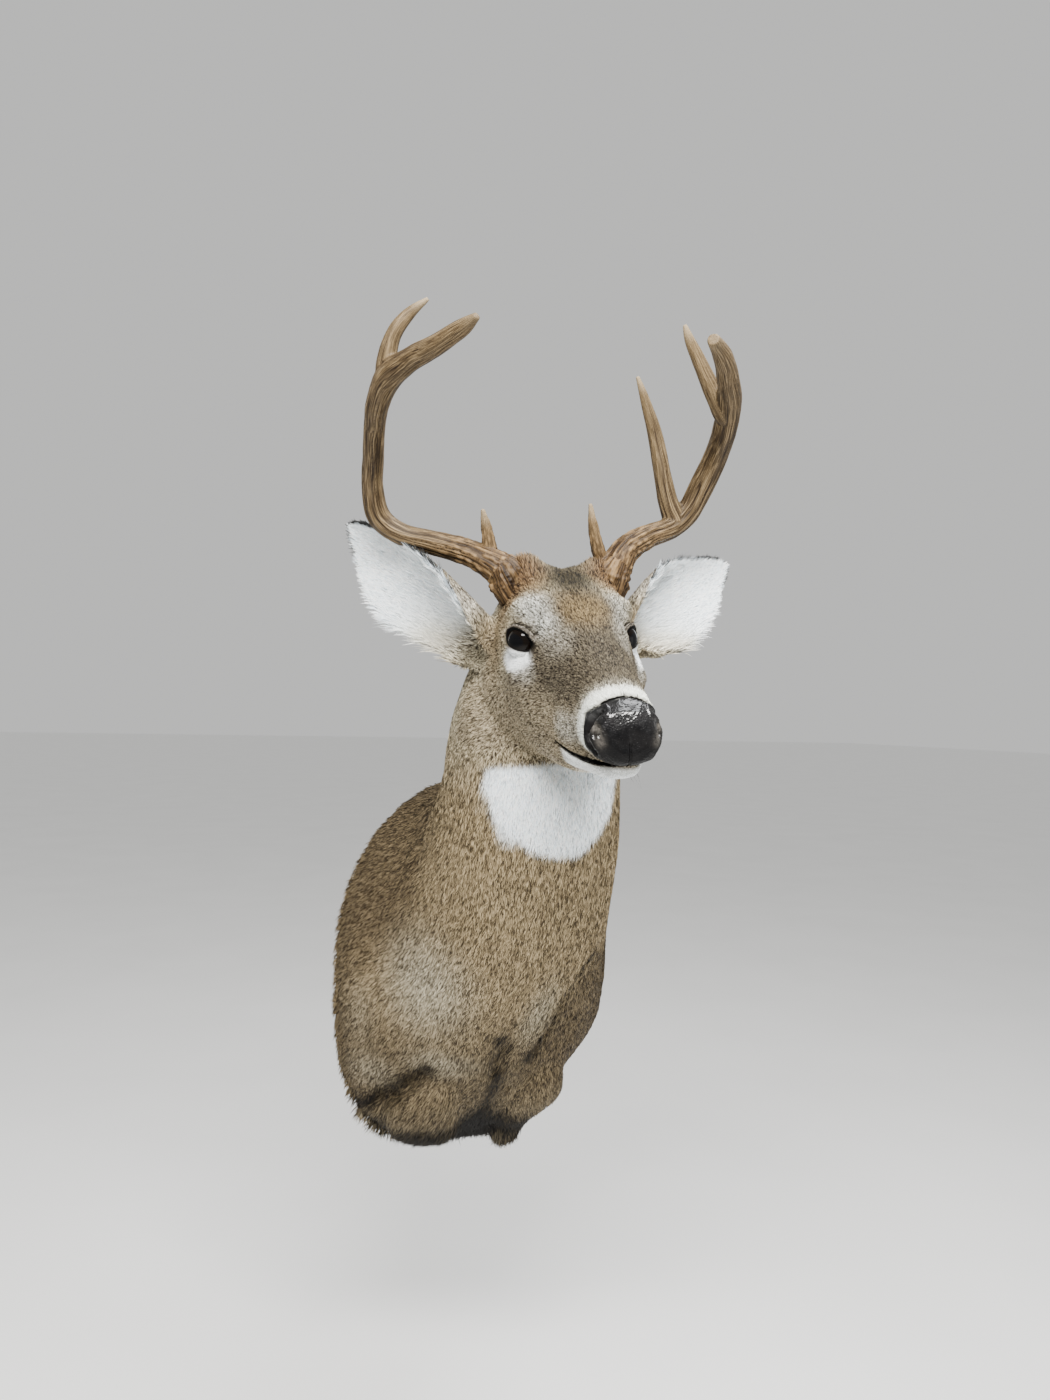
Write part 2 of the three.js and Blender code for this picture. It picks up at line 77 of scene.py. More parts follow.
# Rows are forward, side, up and radius in millimetres, in the head's frame. Each tine starts
# inside the beam that it grows from.
RIGHT_BEAM = [(-58, -42, 38, 19), (-60, -50, 56, 21), (-62, -57, 64, 17), (-75, -86, 80, 13.5),
              (-88, -118, 89, 12), (-98, -150, 98, 11.5), (-100, -171, 114, 11.5),
              (-90, -177, 142, 10.5), (-70, -176, 168, 10), (-45, -175, 193, 10),
              (-20, -172, 211, 10.5), (2, -163, 229, 12), (26, -145, 240, 10),
              (50, -127, 247, 8.5), (75, -109, 256, 7), (90, -99, 262, 3)]
RIGHT_BROW = [(-66, -66, 66, 8), (-67, -68, 84, 7), (-64, -72, 104, 5), (-60, -76, 121, 2)]
RIGHT_TINE = [(-8, -168, 219, 6), (0, -166, 238, 8.5), (4, -159, 262, 7), (6, -146, 279, 5.3),
              (10, -130, 291, 2)]
LEFT_BEAM = [(-58, 42, 38, 19), (-60, 48, 56, 21), (-62, 53, 64, 17), (-70, 66, 83, 14),
             (-80, 90, 96, 12), (-90, 117, 105, 11.5), (-92, 135, 120, 12), (-85, 148, 148, 12.5),
             (-70, 155, 174, 12), (-45, 154, 197, 11.5), (-20, 148, 220, 11.5), (10, 134, 237, 10),
             (35, 119, 250, 8.5), (58, 102, 258, 5.5)]
LEFT_BROW = [(-66, 44, 66, 8), (-64, 38, 80, 7), (-60, 31, 104, 5), (-58, 27, 127, 2)]
LEFT_SECOND = [(-92, 122, 112, 12), (-92, 115, 130, 10.5), (-93, 109, 155, 8.8), (-95, 102, 191, 7.8),
               (-93, 90, 226, 5.2), (-90, 80, 250, 2)]
LEFT_THIRD = [(-36, 152, 201, 6), (-29, 143, 213, 9), (-25, 121, 252, 6.8), (-22, 109, 272, 4.8),
              (-20, 103, 285, 2)]

# An ear's rows are its share of the length, the cup's radius, and the cup's roll in degrees
# at its front edge, at the left ear's lower edge and at the right ear's lower edge.
EAR_ROWS = np.array([(0, 23, 158, 146, 134), (0.12, 33, 127, 103, 92), (0.26, 41, 98, 79, 63),
                     (0.40, 47, 75, 59, 60), (0.55, 48, 60, 50, 66), (0.70, 46, 48, 42, 58),
                     (0.84, 41, 37, 26, 42), (0.94, 34, 25, 17, 22), (1.0, 26, 7, 5, 5)])
BLADE_REACH = 14 * MM
RIM_REACH = 9 * MM
EARS = {-1: dict(root=(-86, -56, -8), tip=(-150, -199, 95), facing=(1, -0.2, -0.48), lift=17),
        1: dict(root=(-86, 58, -12), tip=(-160, 201, 55), facing=(1, 0.1, 0.2), lift=-8)}


def to_head(points):
    """World metres to the head's forward, side and up in millimetres."""
    local = (points - np.array(HEAD_PLACE)) @ HEAD_MATRIX / MM
    return np.stack([-local[:, 1], local[:, 0], local[:, 2]], axis=1)


def turn_to_world(directions):
    """Directions given as forward, side and up, in the world's axes."""
    directions = np.atleast_2d(directions)
    local = np.stack([directions[:, 1], -directions[:, 0], directions[:, 2]], axis=1)
    return local @ HEAD_MATRIX.T


def from_head(places):
    """Forward, side and up in millimetres to world metres."""
    return turn_to_world(places) * MM + np.array(HEAD_PLACE)


def mirror(places):
    """The head's places with the right side folded over onto the left, for what both sides share."""
    return np.stack([places[:, 0], np.abs(places[:, 1]), places[:, 2]], axis=1)


def normals_up(normals):
    """How far each normal points up in the head's frame."""
    return (normals @ HEAD_MATRIX)[:, 2]


# ---------------------------------------------------------------- small numeric helpers

def smoothstep(low, high, value):
    """0 up to the low end, 1 from the high end, with a soft rise between; the ends may swap."""
    t = np.clip((value - low) / (high - low), 0.0, 1.0)
    return t * t * (3.0 - 2.0 * t)


def normalised(vectors):
    """The vectors at length 1."""
    lengths = np.linalg.norm(vectors, axis=-1, keepdims=True)
    return vectors / np.maximum(lengths, 1e-12)


def mix(base, colour, mask):
    """Blends a colour over rows of colours by a mask of one value a row."""
    return base + (np.asarray(colour) - base) * mask[:, None]


def toward(value, target, share):
    """Moves a value part of the way to a target."""
    return value + (target - value) * share


def blob(places, centre, radii, softness=0.5):
    """1 inside an ellipsoid, fading to 0 over a share of its radius."""
    distance = np.linalg.norm((places - np.asarray(centre)) / np.asarray(radii), axis=1)
    return 1.0 - smoothstep(1.0 - softness, 1.0 + softness, distance)


def path_distance(points, path):
    """Each point's distance to a bent line, and how far along the line its nearest place is."""
    path = np.asarray(path, dtype=float)
    best = np.full(len(points), 1e9)
    share = np.zeros(len(points))
    steps = np.linalg.norm(np.diff(path, axis=0), axis=1)
    starts = np.concatenate([[0.0], np.cumsum(steps)])
    for i in range(len(path) - 1):
        along = path[i + 1] - path[i]
        t = np.clip((points - path[i]) @ along / (along @ along), 0.0, 1.0)
        distance = np.linalg.norm(points - path[i] - t[:, None] * along, axis=1)
        nearer = distance < best
        best[nearer] = distance[nearer]
        share[nearer] = (starts[i] + t[nearer] * steps[i]) / starts[-1]
    return best, share


class Noise:
    """Smooth repeatable noise from -1 to 1 in space."""

    CELLS = 32

    def __init__(self, seed):
        self.table = np.random.default_rng(seed).uniform(-1.0, 1.0, (self.CELLS,) * 3)

    def at(self, points, size):
        scaled = points / size
        base = np.floor(scaled).astype(int)
        part = scaled - base
        part = part * part * (3.0 - 2.0 * part)
        total = np.zeros(len(points))
        for corner in range(8):
            bits = np.array([corner & 1, corner >> 1 & 1, corner >> 2 & 1])
            weight = np.prod(np.where(bits, part, 1.0 - part), axis=1)
            index = (base + bits) % self.CELLS
            total += weight * self.table[index[:, 0], index[:, 1], index[:, 2]]
        return total

    def layered(self, points, size, layers=3):
        """Noise with finer and weaker noise on top, each layer half the size of the one before."""
        return sum(self.at(points + 7.3 * k, size / 2 ** k) / 2 ** k for k in range(layers))


NOISES = [Noise(seed) for seed in (21, 22, 23)]


# ---------------------------------------------------------------- mesh helpers

def select_only(*things):
    """Selects these objects and no others, in object mode, with the first of them active."""
    if bpy.context.object and bpy.context.object.mode != "OBJECT":
        bpy.ops.object.mode_set(mode="OBJECT")
    bpy.ops.object.select_all(action="DESELECT")
    for thing in things:
        thing.select_set(True)
    bpy.context.view_layer.objects.active = things[0]


def modify(thing, kind, **settings):
    """Adds one modifier, sets it and applies it."""
    select_only(thing)
    bpy.ops.object.modifier_add(type=kind)
    modifier = thing.modifiers[-1]
    for name, value in settings.items():
        setattr(modifier, name, value)
    bpy.ops.object.modifier_apply(modifier=modifier.name)


def join(things, name):
    select_only(*things)
    if len(things) > 1:
        bpy.ops.object.join()
    joined = bpy.context.view_layer.objects.active
    joined.name = name
    joined.data.name = name
    return joined


def copy_of_nodes(names, grow):
    """Copies of some CAD nodes, each swollen a little so that neighbours overlap."""
    copies = []
    for name in names:
        copy = bpy.data.objects.new(name + "_copy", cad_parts[name].data.copy())
        copy.data.materials.clear()
        bpy.context.scene.collection.objects.link(copy)
        select_only(copy)
        bpy.ops.object.mode_set(mode="EDIT")
        bpy.ops.mesh.select_all(action="SELECT")
        bpy.ops.mesh.remove_doubles(threshold=0.00002)
        bpy.ops.object.mode_set(mode="OBJECT")
        modify(copy, "DISPLACE", strength=grow, mid_level=0.0)
        copies.append(copy)
    return copies


def points_of(thing):
    """An object's vertices, as rows of world metres: every object here stands at the origin."""
    flat = np.empty(len(thing.data.vertices) * 3)
    thing.data.vertices.foreach_get("co", flat)
    return flat.reshape(-1, 3)


def move_points(thing, points):
    thing.data.vertices.foreach_set("co", points.ravel())
    thing.data.update()


def normals_of(thing):
    flat = np.empty(len(thing.data.vertices) * 3)
    thing.data.vertex_normals.foreach_get("vector", flat)
    return flat.reshape(-1, 3)


def triangles_of(mesh):
    """Each triangle's three vertices and its three loops."""
    mesh.calc_loop_triangles()
    count = len(mesh.loop_triangles)
    corners = np.empty(count * 3, dtype=np.int32)
    loops = np.empty(count * 3, dtype=np.int32)
    mesh.loop_triangles.foreach_get("vertices", corners)
    mesh.loop_triangles.foreach_get("loops", loops)
    return corners.reshape(-1, 3), loops.reshape(-1, 3)


def smooth_faces(thing):
    thing.data.polygons.foreach_set("use_smooth", np.ones(len(thing.data.polygons), dtype=bool))
    thing.data.update()


def select_faces(thing, wanted):
    """Selects the faces that the mask picks, and stays in edit mode."""
    select_only(thing)
    bpy.ops.object.mode_set(mode="EDIT")
    bpy.ops.mesh.select_mode(type="FACE")
    bpy.ops.mesh.select_all(action="DESELECT")
    bpy.ops.object.mode_set(mode="OBJECT")
    thing.data.polygons.foreach_set("select", np.asarray(wanted, dtype=bool))
    bpy.ops.object.mode_set(mode="EDIT")


def turn_to_triangles():
    """Makes triangles of all faces of the object in edit mode, and leaves edit mode."""
    bpy.ops.mesh.select_all(action="SELECT")
    bpy.ops.mesh.quads_convert_to_tris()
    bpy.ops.object.mode_set(mode="OBJECT")


def face_centres(thing):
    flat = np.empty(len(thing.data.polygons) * 3)
    thing.data.polygons.foreach_get("center", flat)
    return flat.reshape(-1, 3)


def keep_largest(thing):
    """Drops loose scraps, keeping the piece with most faces."""
    select_only(thing)
    bpy.ops.mesh.separate(type="LOOSE")
    scraps = sorted(bpy.context.selected_objects, key=lambda o: -len(o.data.polygons))
    for scrap in scraps[1:]:
        bpy.data.objects.remove(scrap, do_unlink=True)
    return scraps[0]


def set_colours(thing, name, colours):
    """Stores one colour a vertex, as rows of red, green and blue."""
    layer = thing.data.attributes.new(name, "FLOAT_COLOR", "POINT")
    full = np.ones((len(colours), 4), dtype=np.float32)
    full[:, :3] = colours
    layer.data.foreach_set("color", full.ravel())


def set_values(thing, name, values):
    """Stores one number a vertex."""
    layer = thing.data.attributes.new(name, "FLOAT", "POINT")
    layer.data.foreach_set("value", np.asarray(values, dtype=np.float32))


def set_vectors(thing, name, vectors):
    """Stores one row of three numbers a vertex."""
    layer = thing.data.attributes.new(name, "FLOAT_VECTOR", "POINT")
    layer.data.foreach_set("vector", np.asarray(vectors, dtype=np.float32).ravel())


# ---------------------------------------------------------------- camera, floor and light

def make_camera():
    """Stands to the animal's right and a little low, turned and rolled slightly."""
    place = Vector((-0.505, -1.128, 0.305))
    turn, pitch, roll = math.radians(26.5), math.radians(0.7), math.radians(1.5)
    looking = Vector((math.sin(turn) * math.cos(pitch), math.cos(turn) * math.cos(pitch),
                      math.sin(pitch)))
    straight = looking.to_track_quat("-Z", "Y").to_matrix()
    bpy.ops.object.camera_add(location=place)
    camera = bpy.context.object
    camera.name = "camera"
    camera.rotation_euler = (straight @ Matrix.Rotation(roll, 3, "Z")).to_euler()
    camera.data.sensor_width = 36.0
    camera.data.lens = 25.714
    camera.data.clip_start = 0.02
    bpy.context.scene.camera = camera


def make_lamp(name, place, aim, width, height, power, colour):
    """A soft rectangular lamp that faces the place it is aimed at."""
    bpy.ops.object.light_add(type="AREA", location=place)
    lamp = bpy.context.object
    lamp.name = name
    lamp.data.shape = "RECTANGLE"
    lamp.data.size = width
    lamp.data.size_y = height
    lamp.data.energy = power
    lamp.data.color = colour
    lamp.rotation_euler = (Vector(aim) - Vector(place)).to_track_quat("-Z", "Y").to_euler()


def make_studio():
    """Three soft lamps, a pale room and a pale floor well below the mount."""
    make_lamp("tube_light", (-0.60, -1.40, 1.40), (-0.05, -0.2, 0.1), 1.5, 0.35, 116, (1.0, 0.98, 0.95))
    make_lamp("top_light", (0.35, -0.55, 1.6), (-0.05, -0.2, 0.2), 1.2, 0.6, 34, (0.97, 0.98, 1.0))
    make_lamp("side_fill", (1.3, -1.3, 0.3), (-0.05, -0.2, 0.1), 1.0, 1.0, 5, (1.0, 0.97, 0.93))
    world = bpy.data.worlds.new("pale_room")
    bpy.context.scene.world = world
    world.use_nodes = True
    sky = world.node_tree.nodes["Background"]
    sky.inputs["Color"].default_value = (0.80, 0.80, 0.79, 1.0)
    sky.inputs["Strength"].default_value = 0.84
    bpy.ops.mesh.primitive_plane_add(size=60.0, location=(0.0, 0.0, -0.62))
    floor = bpy.context.object
    floor.name = "floor"
    floor.data.materials.append(plain_floor())


# ---------------------------------------------------------------- ears and eyes, as frames

class EarFrame:
    """Where a place lies on a cupped ear: along it, round it, and inside or outside the cup."""

    def __init__(self, side):
        facts = EARS[side]
        self.side = side
        self.root = from_head([facts["root"]])[0]
        self.along = from_head([facts["tip"]])[0] - self.root
        self.length = np.linalg.norm(self.along)
        self.axis = self.along / self.length
        facing = turn_to_world([facts["facing"]])[0]
        self.across = normalised(np.cross(self.axis, facing))
        self.open = normalised(np.cross(self.across, self.axis))
        self.lift = facts["lift"] * MM

    def front_sign(self):
        """The turn round the cup that leads to the ear's front edge, which is its upper one."""
        up = turn_to_world([(0.0, 0.0, 1.0)])[0]
        return 1.0 if self.across @ up > 0 else -1.0

    def cup_centre(self, points):
        """How far along the ear each point lies, and the middle of the cup's curve there."""
        share = (points - self.root) @ self.axis / self.length
        radius = np.interp(share, EAR_ROWS[:, 0], EAR_ROWS[:, 1]) * MM
        centre = self.root + share[:, None] * self.along
        centre = centre + self.open * (10 * MM * share ** 2 + radius)[:, None]
        centre = centre + self.across * (self.lift * share ** 2)[:, None]
        return share, radius, centre

    def locate(self, points):
        """Share of the ear's length, turn round the cup, height off it, and distance inside its rim."""
        share, radius, centre = self.cup_centre(points)
        offset = points - centre
        turn = np.arctan2(offset @ self.across, -(offset @ self.open)) * self.front_sign()
        front = np.radians(np.interp(share, EAR_ROWS[:, 0], EAR_ROWS[:, 2]))
        low = np.radians(np.interp(share, EAR_ROWS[:, 0], EAR_ROWS[:, 3 if self.side > 0 else 4]))
        reach = np.hypot(offset @ self.across, offset @ self.open)
        rim = (np.where(turn > 0, front, low) - np.abs(turn)) * radius
        rim = np.minimum(rim, (1.02 - share) * self.length)
        return share, turn, reach - radius, rim

    def on_blade(self, gap, rim):
        """True close to the cup and no more than a little outside its rim."""
        return (np.abs(gap) < BLADE_REACH) & (rim > -RIM_REACH)

    def lining(self, points, normals):
        """1 on the inside of the cup and 0 on its back, from the way the surface faces."""
        inward = normalised(self.cup_centre(points)[2] - points)
        return smoothstep(-0.55, -0.05, np.sum(inward * normals, axis=1))


EAR_FRAMES = {side: EarFrame(side) for side in BOTH_SIDES}


class EyeFrame:
    """The eye opening's own frame: x to the front corner, y up, z out of the socket."""

    FRONT_REACH, BACK_REACH = 16.0, 13.5
    UPPER_REACH, LOWER_REACH = 9.2, 7.2

    def __init__(self, side):
        self.centre = from_head([(EYE_FORWARD, side * EYE_OUT[side], EYE_UP)])[0]
        self.out = normalised(turn_to_world([(0.70, side * 0.70, 0.14)])[0])
        ahead = turn_to_world([(1.0, 0.0, -0.15)])[0]
        self.ahead = normalised(ahead - self.out * (ahead @ self.out))
        up = turn_to_world([(0.0, 0.0, 1.0)])[0]
        self.up = np.cross(self.out, self.ahead)
        if self.up @ up < 0:
            self.up = -self.up

    def flat(self, points):
        """Millimetres across the ball's face, ahead and up, and the distance from its centre."""
        offset = points - self.centre
        reach = np.linalg.norm(offset, axis=1)
        way = offset / reach[:, None]
        angle = np.arccos(np.clip(way @ self.out, -1.0, 1.0))
        x, y = way @ self.ahead, way @ self.up
        size = np.maximum(np.hypot(x, y), 1e-9)
        return EYE_RADIUS / MM * angle * x / size, EYE_RADIUS / MM * angle * y / size, reach

    def opening(self, points):
        """0 at the middle of the opening, 1 on the lid's edge, and more beyond it."""
        x, y, reach = self.flat(points)
        across = np.where(x > 0, self.FRONT_REACH, self.BACK_REACH)
        droop = y + 0.004 * x * np.abs(x)
        tall = np.where(droop > 0, self.UPPER_REACH, self.LOWER_REACH)
        return (np.abs(x / across) ** 1.8 + np.abs(droop / tall) ** 1.9) ** 0.53, x, y, reach

    def faces(self, points, reach):
        """True near the ball and on the outer side of its middle."""
        return (reach < SOCKET_REACH) & ((points - self.centre) @ self.out > 0)

    def tear_distance(self, x, y):
        """Millimetres from the dark line that runs down from the front corner, and the place on it."""
        spots = np.stack([x, y, np.zeros(len(x))], axis=1)
        return path_distance(spots, [(14.0, -0.5, 0.0), (22.0, -3.5, 0.0), (26.0, -10.0, 0.0)])


EYE_FRAMES = {side: EyeFrame(side) for side in BOTH_SIDES}


# ---------------------------------------------------------------- the mouth and the nose pad

# The line between the lips, forward and up in the head's frame.
MOUTH_CORNER = 76.0
MOUTH_FORWARD = (76, 84, 96, 112, 130, 146, 162, 178, 188)
MOUTH_UP = (-73.5, -75.8, -77.3, -78.0, -77.6, -76.8, -75.2, -72.8, -72.0)


def mouth_gap(places):
    """Millimetres above the line between the lips, and how far each place lies behind its corner."""
    f, _, u = places.T
    above = u - np.interp(f, MOUTH_FORWARD, MOUTH_UP)
    behind = np.clip(MOUTH_CORNER - f, 0.0, None)
    return above, behind


def mouth_distance(places):
    """Millimetres from the line between the lips."""
    above, behind = mouth_gap(places)
    return np.hypot(above, behind)


def nose_cover(places):
    """1 on the bare black pad in front, 0 on the haired muzzle."""
    f, s, u = places.T
    tall = np.where(u > -46, 25.0, 28.0)
    bend = np.where(u > -46, 1.75, 2.4)
    shape = (np.abs(s) / 33.0) ** bend + (np.abs(u + 46) / tall) ** bend
    wing = smoothstep(15, 24, np.abs(s)) * smoothstep(-28, -38, u) * smoothstep(-70, -60, u)
    back = 171.0 - 12.0 * wing
    return (1.0 - smoothstep(0.86, 1.06, shape)) * smoothstep(back - 2.0, back + 2.0, f)


# ---------------------------------------------------------------- the skin

# How finely each piece is melted together.
SKIN_VOXEL, NOSE_VOXEL, ANTLER_VOXEL = 2.15 * MM, 0.7 * MM, 1.15 * MM

# How deep the skin lies inside the CAD outline, which is the tips of the coat.
BODY_DEPTH, FACE_DEPTH, MUZZLE_DEPTH, EAR_DEPTH = 3.2 * MM, 1.7 * MM, 1.0 * MM, 1.2 * MM
NOSE_DEPTH = 7.0 * MM

# The hide's gap to the edge of the board, outside it and where it turns in behind the edge.
OUTER_GAP = 1.6 * MM
INNER_GAPS = (0.2 * MM, 0.7 * MM)


def ear_share(points):
    """1 on either ear's free blade, 0 on the head."""
    mask = np.zeros(len(points))
    for ear in EAR_FRAMES.values():
        share, _, gap, rim = ear.locate(points)
        near = 1.0 - smoothstep(6 * MM, 12 * MM, np.abs(gap))
        mask = np.maximum(mask, smoothstep(0.10, 0.30, share) * near * (rim > -8 * MM))
    return mask


def body_share(places):
    """1 on neck and trunk, 0 on the head, by the head's own millimetres."""
    behind = smoothstep(85, 135, -places[:, 0])
    below = smoothstep(100, 130, -places[:, 2])
    return np.maximum(behind, below)


def give_group(thing, name, weights):
    """Adds a vertex group, with the weights rounded to tenths."""
    group = thing.vertex_groups.new(name=name)
    levels = np.round(np.clip(weights, 0.0, 1.0), 1)
    for level in np.unique(levels):
        if level > 0:
            group.add(np.flatnonzero(levels == level).tolist(), float(level), "REPLACE")


def block_out_skin():
    """The flesh nodes melted into one closed surface, with the facets smoothed away."""
    parts = copy_of_nodes(FLESH_NODES, 0.4 * MM) + copy_of_nodes(EAR_NODES, 1.1 * MM)
    skin = join(parts, "skin")
    modify(skin, "REMESH", mode="VOXEL", voxel_size=SKIN_VOXEL, adaptivity=0.0)
    skin = keep_largest(skin)
    points = points_of(skin)
    places = to_head(points)
    ears = ear_share(points)
    at_wall = smoothstep(-16 * MM, -8 * MM, points[:, 1])
    jaw_corner = blob(mirror(places), (-46, 40, -96), (62, 44, 34), 0.5)
    body = np.maximum(body_share(places), 0.9 * jaw_corner) * (1.0 - ears) * (1.0 - 0.9 * at_wall)
    low = smoothstep(-70, -115, points[:, 2] / MM)
    give_group(skin, "body", body * (1.0 - 0.75 * low))
    give_group(skin, "all", 1.0 - 0.7 * ears - 0.2 * at_wall)
    modify(skin, "SMOOTH", factor=0.5, iterations=90, vertex_group="body")
    modify(skin, "SMOOTH", factor=0.5, iterations=14, vertex_group="all")
    return skin


def inset_skin(skin):
    """Draws the skin in by the coat's depth, so that the coat ends on the CAD outline."""
    points, normals = points_of(skin), normals_of(skin)
    places = to_head(points)
    ears = ear_share(points)
    body = body_share(places)
    muzzle = smoothstep(120, 165, places[:, 0])
    depth = toward(FACE_DEPTH, BODY_DEPTH, body)
    depth = toward(depth, MUZZLE_DEPTH, muzzle)
    depth = toward(depth, EAR_DEPTH, ears)
    depth = depth + NOSE_DEPTH * nose_cover(places)
    backward = smoothstep(0.5, 0.9, normals[:, 1]) * smoothstep(-5 * MM, -1 * MM, points[:, 1])
    depth = depth * (1.0 - 0.9 * backward)
    points = points - normals * depth[:, None]
    points[:, 1] = np.minimum(points[:, 1], 0.0)
    board_low, board_high = (np.array(corner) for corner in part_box("backboard"))
    margin = 0.8 * MM
    beside = (points[:, 1] > board_low[1] - margin) & (np.abs(points[:, 0]) < board_high[0] + 1 * MM)
    facing_back = normals[:, 1] > 0.7
    floor_of_pocket = beside & facing_back & (points[:, 1] < -4 * MM)
    points[floor_of_pocket, 1] = np.minimum(points[floor_of_pocket, 1], board_low[1] - margin)
    move_points(skin, points)


def thin_out_body(skin):
    """Fewer, larger faces under the long coat, keeping the fine ones for the head."""
    centres = face_centres(skin)
    places = to_head(centres)
    wanted = (body_share(places) > 0.6) & (ear_share(centres) < 0.05)
    select_faces(skin, wanted)
    bpy.ops.mesh.decimate(ratio=0.07)
    turn_to_triangles()


def unwrap_skin(skin):
    """The coat's bake map is this unwrap, so it is made before any fine shaping."""
    skin.data.uv_layers.new(name="OFBake")
    select_faces(skin, np.ones(len(skin.data.polygons), dtype=bool))
    bpy.ops.uv.smart_project(angle_limit=math.radians(70), island_margin=0.002)
    bpy.ops.object.mode_set(mode="OBJECT")


def refine(skin, wanted):
    """Cuts each of the wanted faces into four."""
    select_faces(skin, wanted)
    bpy.ops.mesh.subdivide(number_cuts=1, smoothness=0.0)
    turn_to_triangles()


def refine_head(skin):
    """Small faces round the eyes and along the lips, where the skin is shaped finely."""
    for eye_reach, lip_reach in ((26, 6.5), (21, 3.5)):
        centres = face_centres(skin)
        near = np.zeros(len(centres), dtype=bool)
        for eye in EYE_FRAMES.values():
            x, y, reach = eye.flat(centres)
            near |= (np.hypot(x, y) < eye_reach) & (reach > 10 * MM) & (reach < 32 * MM)
        near |= mouth_distance(to_head(centres)) < lip_reach
        refine(skin, near)


def shape_lids(points):
    """Lays the skin round each ball: a sharp rim, a crease and a soft brow over the upper lid."""
    for eye in EYE_FRAMES.values():
        q, x, y, reach = eye.opening(points)
        near = (q < 3.2) & (reach < SOCKET_REACH) & ((points - eye.centre) @ eye.out > -4 * MM)
        q, x, y, reach = q[near], x[near], y[near], reach[near] / MM
        upper = smoothstep(-4, 4, y)
        ball = EYE_RADIUS / MM
        shape = ball - 4.0 + 4.9 * smoothstep(0.80, 1.0, q)
        shape += (0.5 + 0.6 * upper) * smoothstep(1.0, 1.12, q)
        shape += (1.1 * upper + 0.05) * np.exp(-((q - 1.28) / 0.13) ** 2)
        shape -= (1.9 * upper + 0.3) * np.exp(-((q - 1.60) / 0.10) ** 2)
        shape += 1.2 * upper * np.exp(-((q - 1.92) / 0.20) ** 2)
        blend = 1.0 - smoothstep(1.5, 2.9, q)
        wanted = reach + (shape - reach) * blend
        tear, share = eye.tear_distance(x, y)
        wanted = wanted - 1.4 * np.exp(-(tear / 1.8) ** 2) * (1.0 - 0.6 * share)
        offset = points[near] - eye.centre
        points[near] = eye.centre + normalised(offset) * (wanted * MM)[:, None]
    return points


def press(points, normals, path, width, depth):
    """Presses a soft groove into the surface along a line; a negative depth raises a welt."""
    distance, share = path_distance(points, path)
    ends = smoothstep(0.0, 0.15, share) * smoothstep(0.0, 0.12, 1.0 - share)
    amount = depth * np.exp(-(distance / width) ** 2) * (0.25 + 0.75 * ends)
    return points - normals * amount[:, None]


# Folds of the hide, as places in the world in millimetres.
NECK_FOLD = [(-119, -161, 222), (-113, -128, 186), (-121, -109, 153), (-127, -106, 125)]
FAR_LEG_FOLD = [(120, -50, -122), (110, -84, -104), (98, -108, -84)]
POCKET_FOLD = [(-148, -10, -148), (-138, -28, -140), (-129, -53, -128), (-122, -84, -110),
               (-113, -104, -94), (-105, -118, -83)]
BREAST_FOLD = [(-50, -182, -39), (-39, -171, -55), (-40, -157, -73), (-31, -138, -97),
               (-26, -114, -125), (-25, -83, -153)]
SHOULDER_FOLD = [(41, -219, 51), (33, -219, 38), (27, -217, 28), (18, -202, -5), (14, -186, -31),
                 (6, -173, -52), (-3, -160, -70)]


def body_creases():
    """Folds of the hide as lines in the world, each with its width and its depth."""
    behind_shoulder = [(x + 20, y + 8, z + 2) for x, y, z in SHOULDER_FOLD]
    folds = [(NECK_FOLD, 7, 3.0), (SHOULDER_FOLD, 8, 8.0), (behind_shoulder, 20, 5.0),
             (BREAST_FOLD, 8, 9.5), (POCKET_FOLD, 7, 10.0), (FAR_LEG_FOLD, 7, 4.0)]
    return [(np.array(path) * MM, width * MM, depth * MM) for path, width, depth in folds]


def wrap_board(points, normals):
    """Keeps the hide's side just outside the edge of the board that it is stretched over."""
    board = points_of(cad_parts["backboard"])
    front, middle = board[:, 1].min(), (board.min(axis=0) + board.max(axis=0)) / 2
    out = (board - middle)[:, [0, 2]]
    reach = np.hypot(out[:, 0], out[:, 1])
    rim = reach > 0.6 * reach.max()
    away = (points - middle)[:, [0, 2]]
    distance = np.hypot(away[:, 0], away[:, 1])
    turn = np.arctan2(away[:, 1], away[:, 0])
    edge = np.interp(turn, np.arctan2(out[rim, 1], out[rim, 0]), reach[rim], period=2 * math.pi)
    outward = np.sum(normals[:, [0, 2]] * away, axis=1) / distance
    wanted = np.where(outward > 0.2, np.maximum(distance, edge + OUTER_GAP), distance)
    turned_in = np.clip(distance, edge + INNER_GAPS[0], edge + INNER_GAPS[1])
    wanted = np.where(outward < -0.2, turned_in, wanted)
    beside = smoothstep(front - 40 * MM, front - 3 * MM, points[:, 1])
    beside = beside * smoothstep(edge - 24 * MM, edge - 8 * MM, distance)
    spread = 1.0 + (wanted / distance - 1.0) * beside
    points[:, [0, 2]] = middle[[0, 2]] + away * spread[:, None]
    return points


